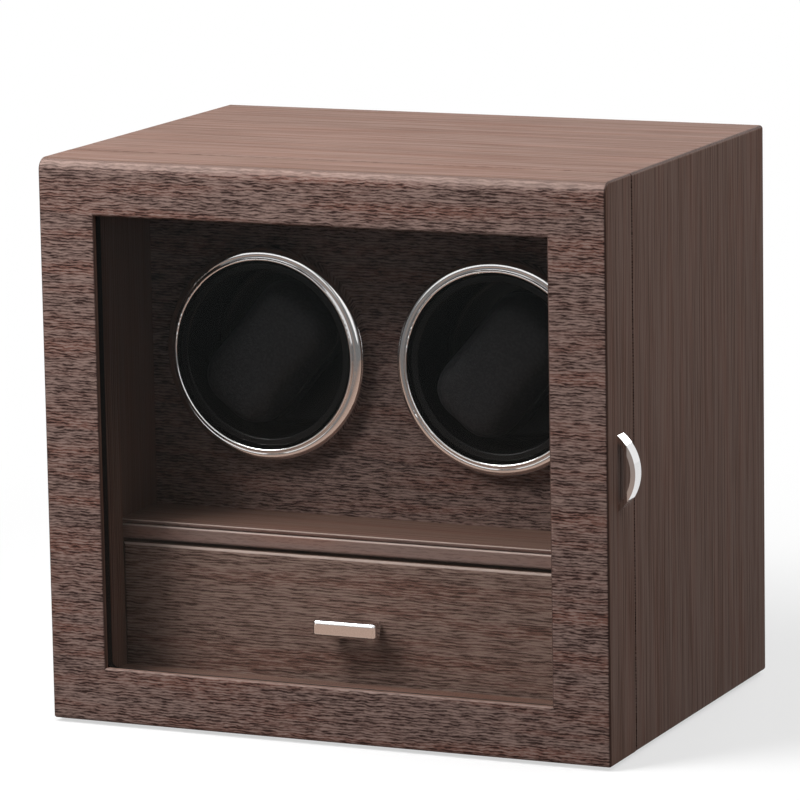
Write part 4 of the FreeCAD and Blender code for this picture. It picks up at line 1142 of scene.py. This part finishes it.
@dataclass
class RockerMarks:
    """Raised off ring and on bar, painted on the two halves of the rocker."""

    bar_length: float = 2.3 * MM
    bar_width: float = 0.45 * MM
    ring_radius: float = 1.0 * MM
    stroke: float = 0.22 * MM
    flatness: float = 0.6
    ring_steps: int = 40
    stroke_steps: int = 10
    bar_edge: float = 0.06 * MM
    edge_steps: int = 2

    def seat(self, upper: bool) -> Matrix:
        """Find one half of the rocker's face.

        Args:
            upper: Whether it is the upper half.

        Returns:
            A place in the middle of that half, facing out of it.
        """
        low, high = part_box("switch_rocker")
        level = (low.z + high.z) / 2
        faces = [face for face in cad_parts["switch_rocker"].data.polygons
                 if face.normal.y > SQUARELY and (face.center.z > level) == upper]
        area = sum(face.area for face in faces)
        middle = sum((face.center * face.area for face in faces), Vector()) / area
        way = sum((face.normal * face.area for face in faces), Vector()).normalized()
        return Matrix.Translation(middle) @ way.to_track_quat("Z", "Y").to_matrix().to_4x4()

    def build(self, finishes: Finishes) -> None:
        """Make the ring on the upper half and the bar on the lower half.

        Args:
            finishes: The finishes to dress them with.
        """
        ring = start(bpy.ops.mesh.primitive_torus_add,
                     major_radius=self.ring_radius, major_segments=self.ring_steps,
                     minor_radius=self.stroke, minor_segments=self.stroke_steps)
        ring.name = "rocker_off_ring"
        ring.matrix_world = self.seat(True) @ Matrix.Scale(self.flatness, 4, (0, 0, 1))
        settle(ring)
        bar = start(bpy.ops.mesh.primitive_cube_add, size=1.0)
        bar.name = "rocker_on_bar"
        bar_size = Matrix.Diagonal((self.bar_width, self.bar_length, self.stroke, 1.0))
        bar.matrix_world = self.seat(False) @ bar_size
        settle(bar)
        modify(bar, "BEVEL", width=self.bar_edge, segments=self.edge_steps)
        for mark in (ring, bar):
            smooth(mark)
            Place("rocker", "white_nylon", WHITE_PAINT).take(mark, finishes)


def seen_by(shader: Shader) -> tuple[Socket, Socket]:
    """Tell the rays that see the studio from those that only carry its light.

    Args:
        shader: The node tree to add to.

    Returns:
        Whether a ray comes straight from the camera, and whether it comes off metal or through glass.
    """
    path = shader.node("ShaderNodeLightPath").outputs
    mirrored = shader.math("MAXIMUM", path[Rays.GLOSSY.value], path[Rays.TRANSMISSION.value])
    return path[Rays.CAMERA.value], mirrored


@dataclass(frozen=True)
class Lamp:
    """Soft square lamp that faces the middle of the box."""

    name: str
    bearing: float
    height: float
    reach: float
    size: float
    power: float

    def build(self, middle: Vector) -> None:
        """Hang the lamp.

        Args:
            middle: The middle of the box.
        """
        around = math.radians(self.bearing)
        lift = math.radians(self.height)
        way = Vector((math.sin(around) * math.cos(lift), -math.cos(around) * math.cos(lift), math.sin(lift)))
        data = bpy.data.lights.new(self.name, "AREA")
        data.size = self.size
        data.energy = self.power
        lamp = bpy.data.objects.new(self.name, data)
        turn = way.to_track_quat("Z", "Y").to_matrix().to_4x4()
        lamp.matrix_world = Matrix.Translation(middle + way * self.reach) @ turn
        bpy.context.scene.collection.objects.link(lamp)


LAMPS = (
    Lamp("key_lamp", bearing=-39.0, height=40.0, reach=1.3, size=0.5, power=11.3),
    Lamp("top_lamp", bearing=-39.8, height=62.0, reach=0.83, size=0.45, power=6.0),
    Lamp("side_lamp", bearing=85.0, height=55.0, reach=0.9, size=0.5, power=2.8),
    Lamp("rear_lamp", bearing=170.0, height=32.0, reach=1.2, size=0.6, power=5.0),
)


@dataclass
class Studio:
    """Pale floor, soft lamps and the camera at the photographed angle."""

    yaw: float = math.radians(23.955)
    pitch: float = math.radians(10.379)
    roll: float = math.radians(-0.995)
    distance: float = 2.0937
    aim_right: float = 29.5 * MM
    aim_up: float = 136.4 * MM
    lens: float = 236.5
    sensor: float = 36.0
    ambient: float = 0.1
    room: float = 0.24
    bright_behind: Ramp = (-0.35, 0.25)
    bright_above: Ramp = (0.25, 0.6)
    windows: tuple[Way, ...] = ((0.42, -0.87, 0.27), (-0.41, -0.89, 0.21))
    window_edge: Ramp = (0.93, 0.97)
    window_light: float = 1.5
    floor_size: float = 12.0
    floor_tone: Colour = (0.8, 0.8, 0.8)
    floor_bounce: Colour = (0.2, 0.2, 0.2)
    floor_glow: float = 0.6
    glow_reach: Ramp = (0.2, 0.55)
    mirror_light: float = 0.9
    mirror_reach: Ramp = (-0.9, -0.1)
    warm_floor: Colour = srgb(228, 196, 178)
    warm_far: Ramp = (-0.95, -0.45)
    warm_near: Ramp = (0.05, -0.15)

    def axes(self) -> tuple[Vector, Vector, Vector]:
        """Work out the camera's own directions.

        Returns:
            Its right, up and forward directions.
        """
        forward = Vector((-math.sin(self.yaw) * math.cos(self.pitch),
                          math.cos(self.yaw) * math.cos(self.pitch), -math.sin(self.pitch)))
        level = forward.cross(Vector((0, 0, 1))).normalized()
        upright = level.cross(forward)
        right = level * math.cos(self.roll) + upright * math.sin(self.roll)
        return right, right.cross(forward), forward

    def build_camera(self) -> None:
        """Set the camera on the bottom middle of the door, moved over by its aim."""
        right, up, forward = self.axes()
        low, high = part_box("door_frame")
        foot = Vector(((low.x + high.x) / 2, low.y, low.z))
        aim = foot + right * self.aim_right + up * self.aim_up
        data = bpy.data.cameras.new("photo_camera")
        data.lens = self.lens
        data.sensor_width = self.sensor
        camera = bpy.data.objects.new("photo_camera", data)
        turn = Matrix((right, up, -forward)).transposed()
        camera.matrix_world = Matrix.Translation(aim - forward * self.distance) @ turn.to_4x4()
        bpy.context.scene.collection.objects.link(camera)
        bpy.context.scene.camera = camera

    def room_seen(self, shader: Shader) -> Socket:
        """Mix what metal and glass see: dim in front, bright behind and above, with soft windows.

        Args:
            shader: The world's node tree.

        Returns:
            How bright it is.
        """
        towards = shader.node("ShaderNodeTexCoord").outputs["Generated"]
        _, back, up = shader.split(towards)
        bright = shader.math("MAXIMUM", shader.step(back, *self.bright_behind),
                             shader.step(up, *self.bright_above))
        room = shader.blend(bright, self.room, 1.0)
        for window in self.windows:
            aim = shader.node("ShaderNodeVectorMath", operation="DOT_PRODUCT")
            shader.plug(aim.inputs[0], towards)
            shader.plug(aim.inputs[1], window)
            pane = shader.step(aim.outputs["Value"], *self.window_edge)
            room = shader.math("MAXIMUM", room, shader.math("MULTIPLY", pane, self.window_light))
        return room

    def build_world(self) -> None:
        """Set plain white for the camera, the room for metal and glass, and soft light for the rest."""
        world = bpy.data.worlds.new("studio")
        world.use_nodes = True
        shader = Shader.on(world.node_tree)
        camera, mirrored = seen_by(shader)
        unseen = shader.blend(mirrored, self.ambient, self.room_seen(shader))
        background = world.node_tree.nodes["Background"]
        background.inputs["Color"].default_value = (*WHITE, 1.0)
        shader.plug(background.inputs["Strength"], shader.blend(camera, unseen, 1.0))
        bpy.context.scene.world = world

    def build_floor(self) -> None:
        """Lay a pale floor that keeps the box's shadow and turns plain white farther out."""
        floor = start(bpy.ops.mesh.primitive_plane_add, size=self.floor_size)
        floor.name = "floor"
        shader = Shader("floor_paint")
        camera, mirrored = seen_by(shader)
        x, y, _ = shader.split(shader.place())
        squares = shader.math("ADD", shader.math("MULTIPLY", x, x), shader.math("MULTIPLY", y, y))
        far = shader.step(shader.math("SQRT", squares), *self.glow_reach)
        glow = shader.math("MULTIPLY", camera, shader.blend(far, self.floor_glow, 1.0))
        near = shader.blend(shader.step(y, *self.mirror_reach), self.room, self.mirror_light)
        mirror = shader.math("MULTIPLY", mirrored, near)
        close = shader.math("MULTIPLY", shader.step(y, *self.warm_far), shader.step(y, *self.warm_near))
        warm = shader.math("MULTIPLY", mirrored, close)
        paint = shader.tint(camera, self.floor_bounce, self.floor_tone)
        bare = shader.tint(shader.math("MAXIMUM", glow, mirrored), paint, BLACK)
        shader.set(Base_Color=bare, Roughness=1.0, Specular_IOR_Level=0.0)
        shader.set(Emission_Color=shader.tint(warm, WHITE, self.warm_floor))
        shader.set(Emission_Strength=shader.math("ADD", glow, mirror))
        floor.data.materials.append(shader.material)
        floor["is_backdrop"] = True

    def build(self) -> None:
        """Set up the whole studio."""
        bpy.context.scene.view_settings.view_transform = "Standard"
        low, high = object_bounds()
        middle = (Vector(low) + Vector(high)) / 2
        self.build_camera()
        for lamp in LAMPS:
            lamp.build(middle)
        self.build_world()
        self.build_floor()


def main() -> None:
    """Dress the model, make the soft pieces and fittings, and set up the studio."""
    logging.basicConfig(level=logging.INFO)
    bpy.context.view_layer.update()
    finishes = Finishes()
    finishes.dress_nodes()
    pieces = (
        Cushion("left"),
        Cushion("right"),
        FeltSheet("base_felt", "case", "carcass_bottom"),
        FeltSheet("drawer_lining", "drawer", "drawer_bottom"),
        ScrewRow("back_panel_screws", "case", "steel", STEEL, Head.PAN,
                 faces_back=True, columns=2, rows=3),
        ScrewRow("drawer_pull_screws", "drawer", "steel", STEEL, Head.PAN,
                 faces_back=True, columns=2, rows=1),
        ScrewRow("hinge_case_screws", "case", "brass", BRASS, Head.SUNK,
                 faces_back=False, columns=1, rows=4),
        ScrewRow("hinge_door_screws", "door", "brass", BRASS, Head.SUNK,
                 faces_back=True, columns=1, rows=4),
        RockerMarks(),
    )
    for piece in pieces:
        piece.build(finishes)
    Studio().build()


if __name__ == "__main__":
    main()
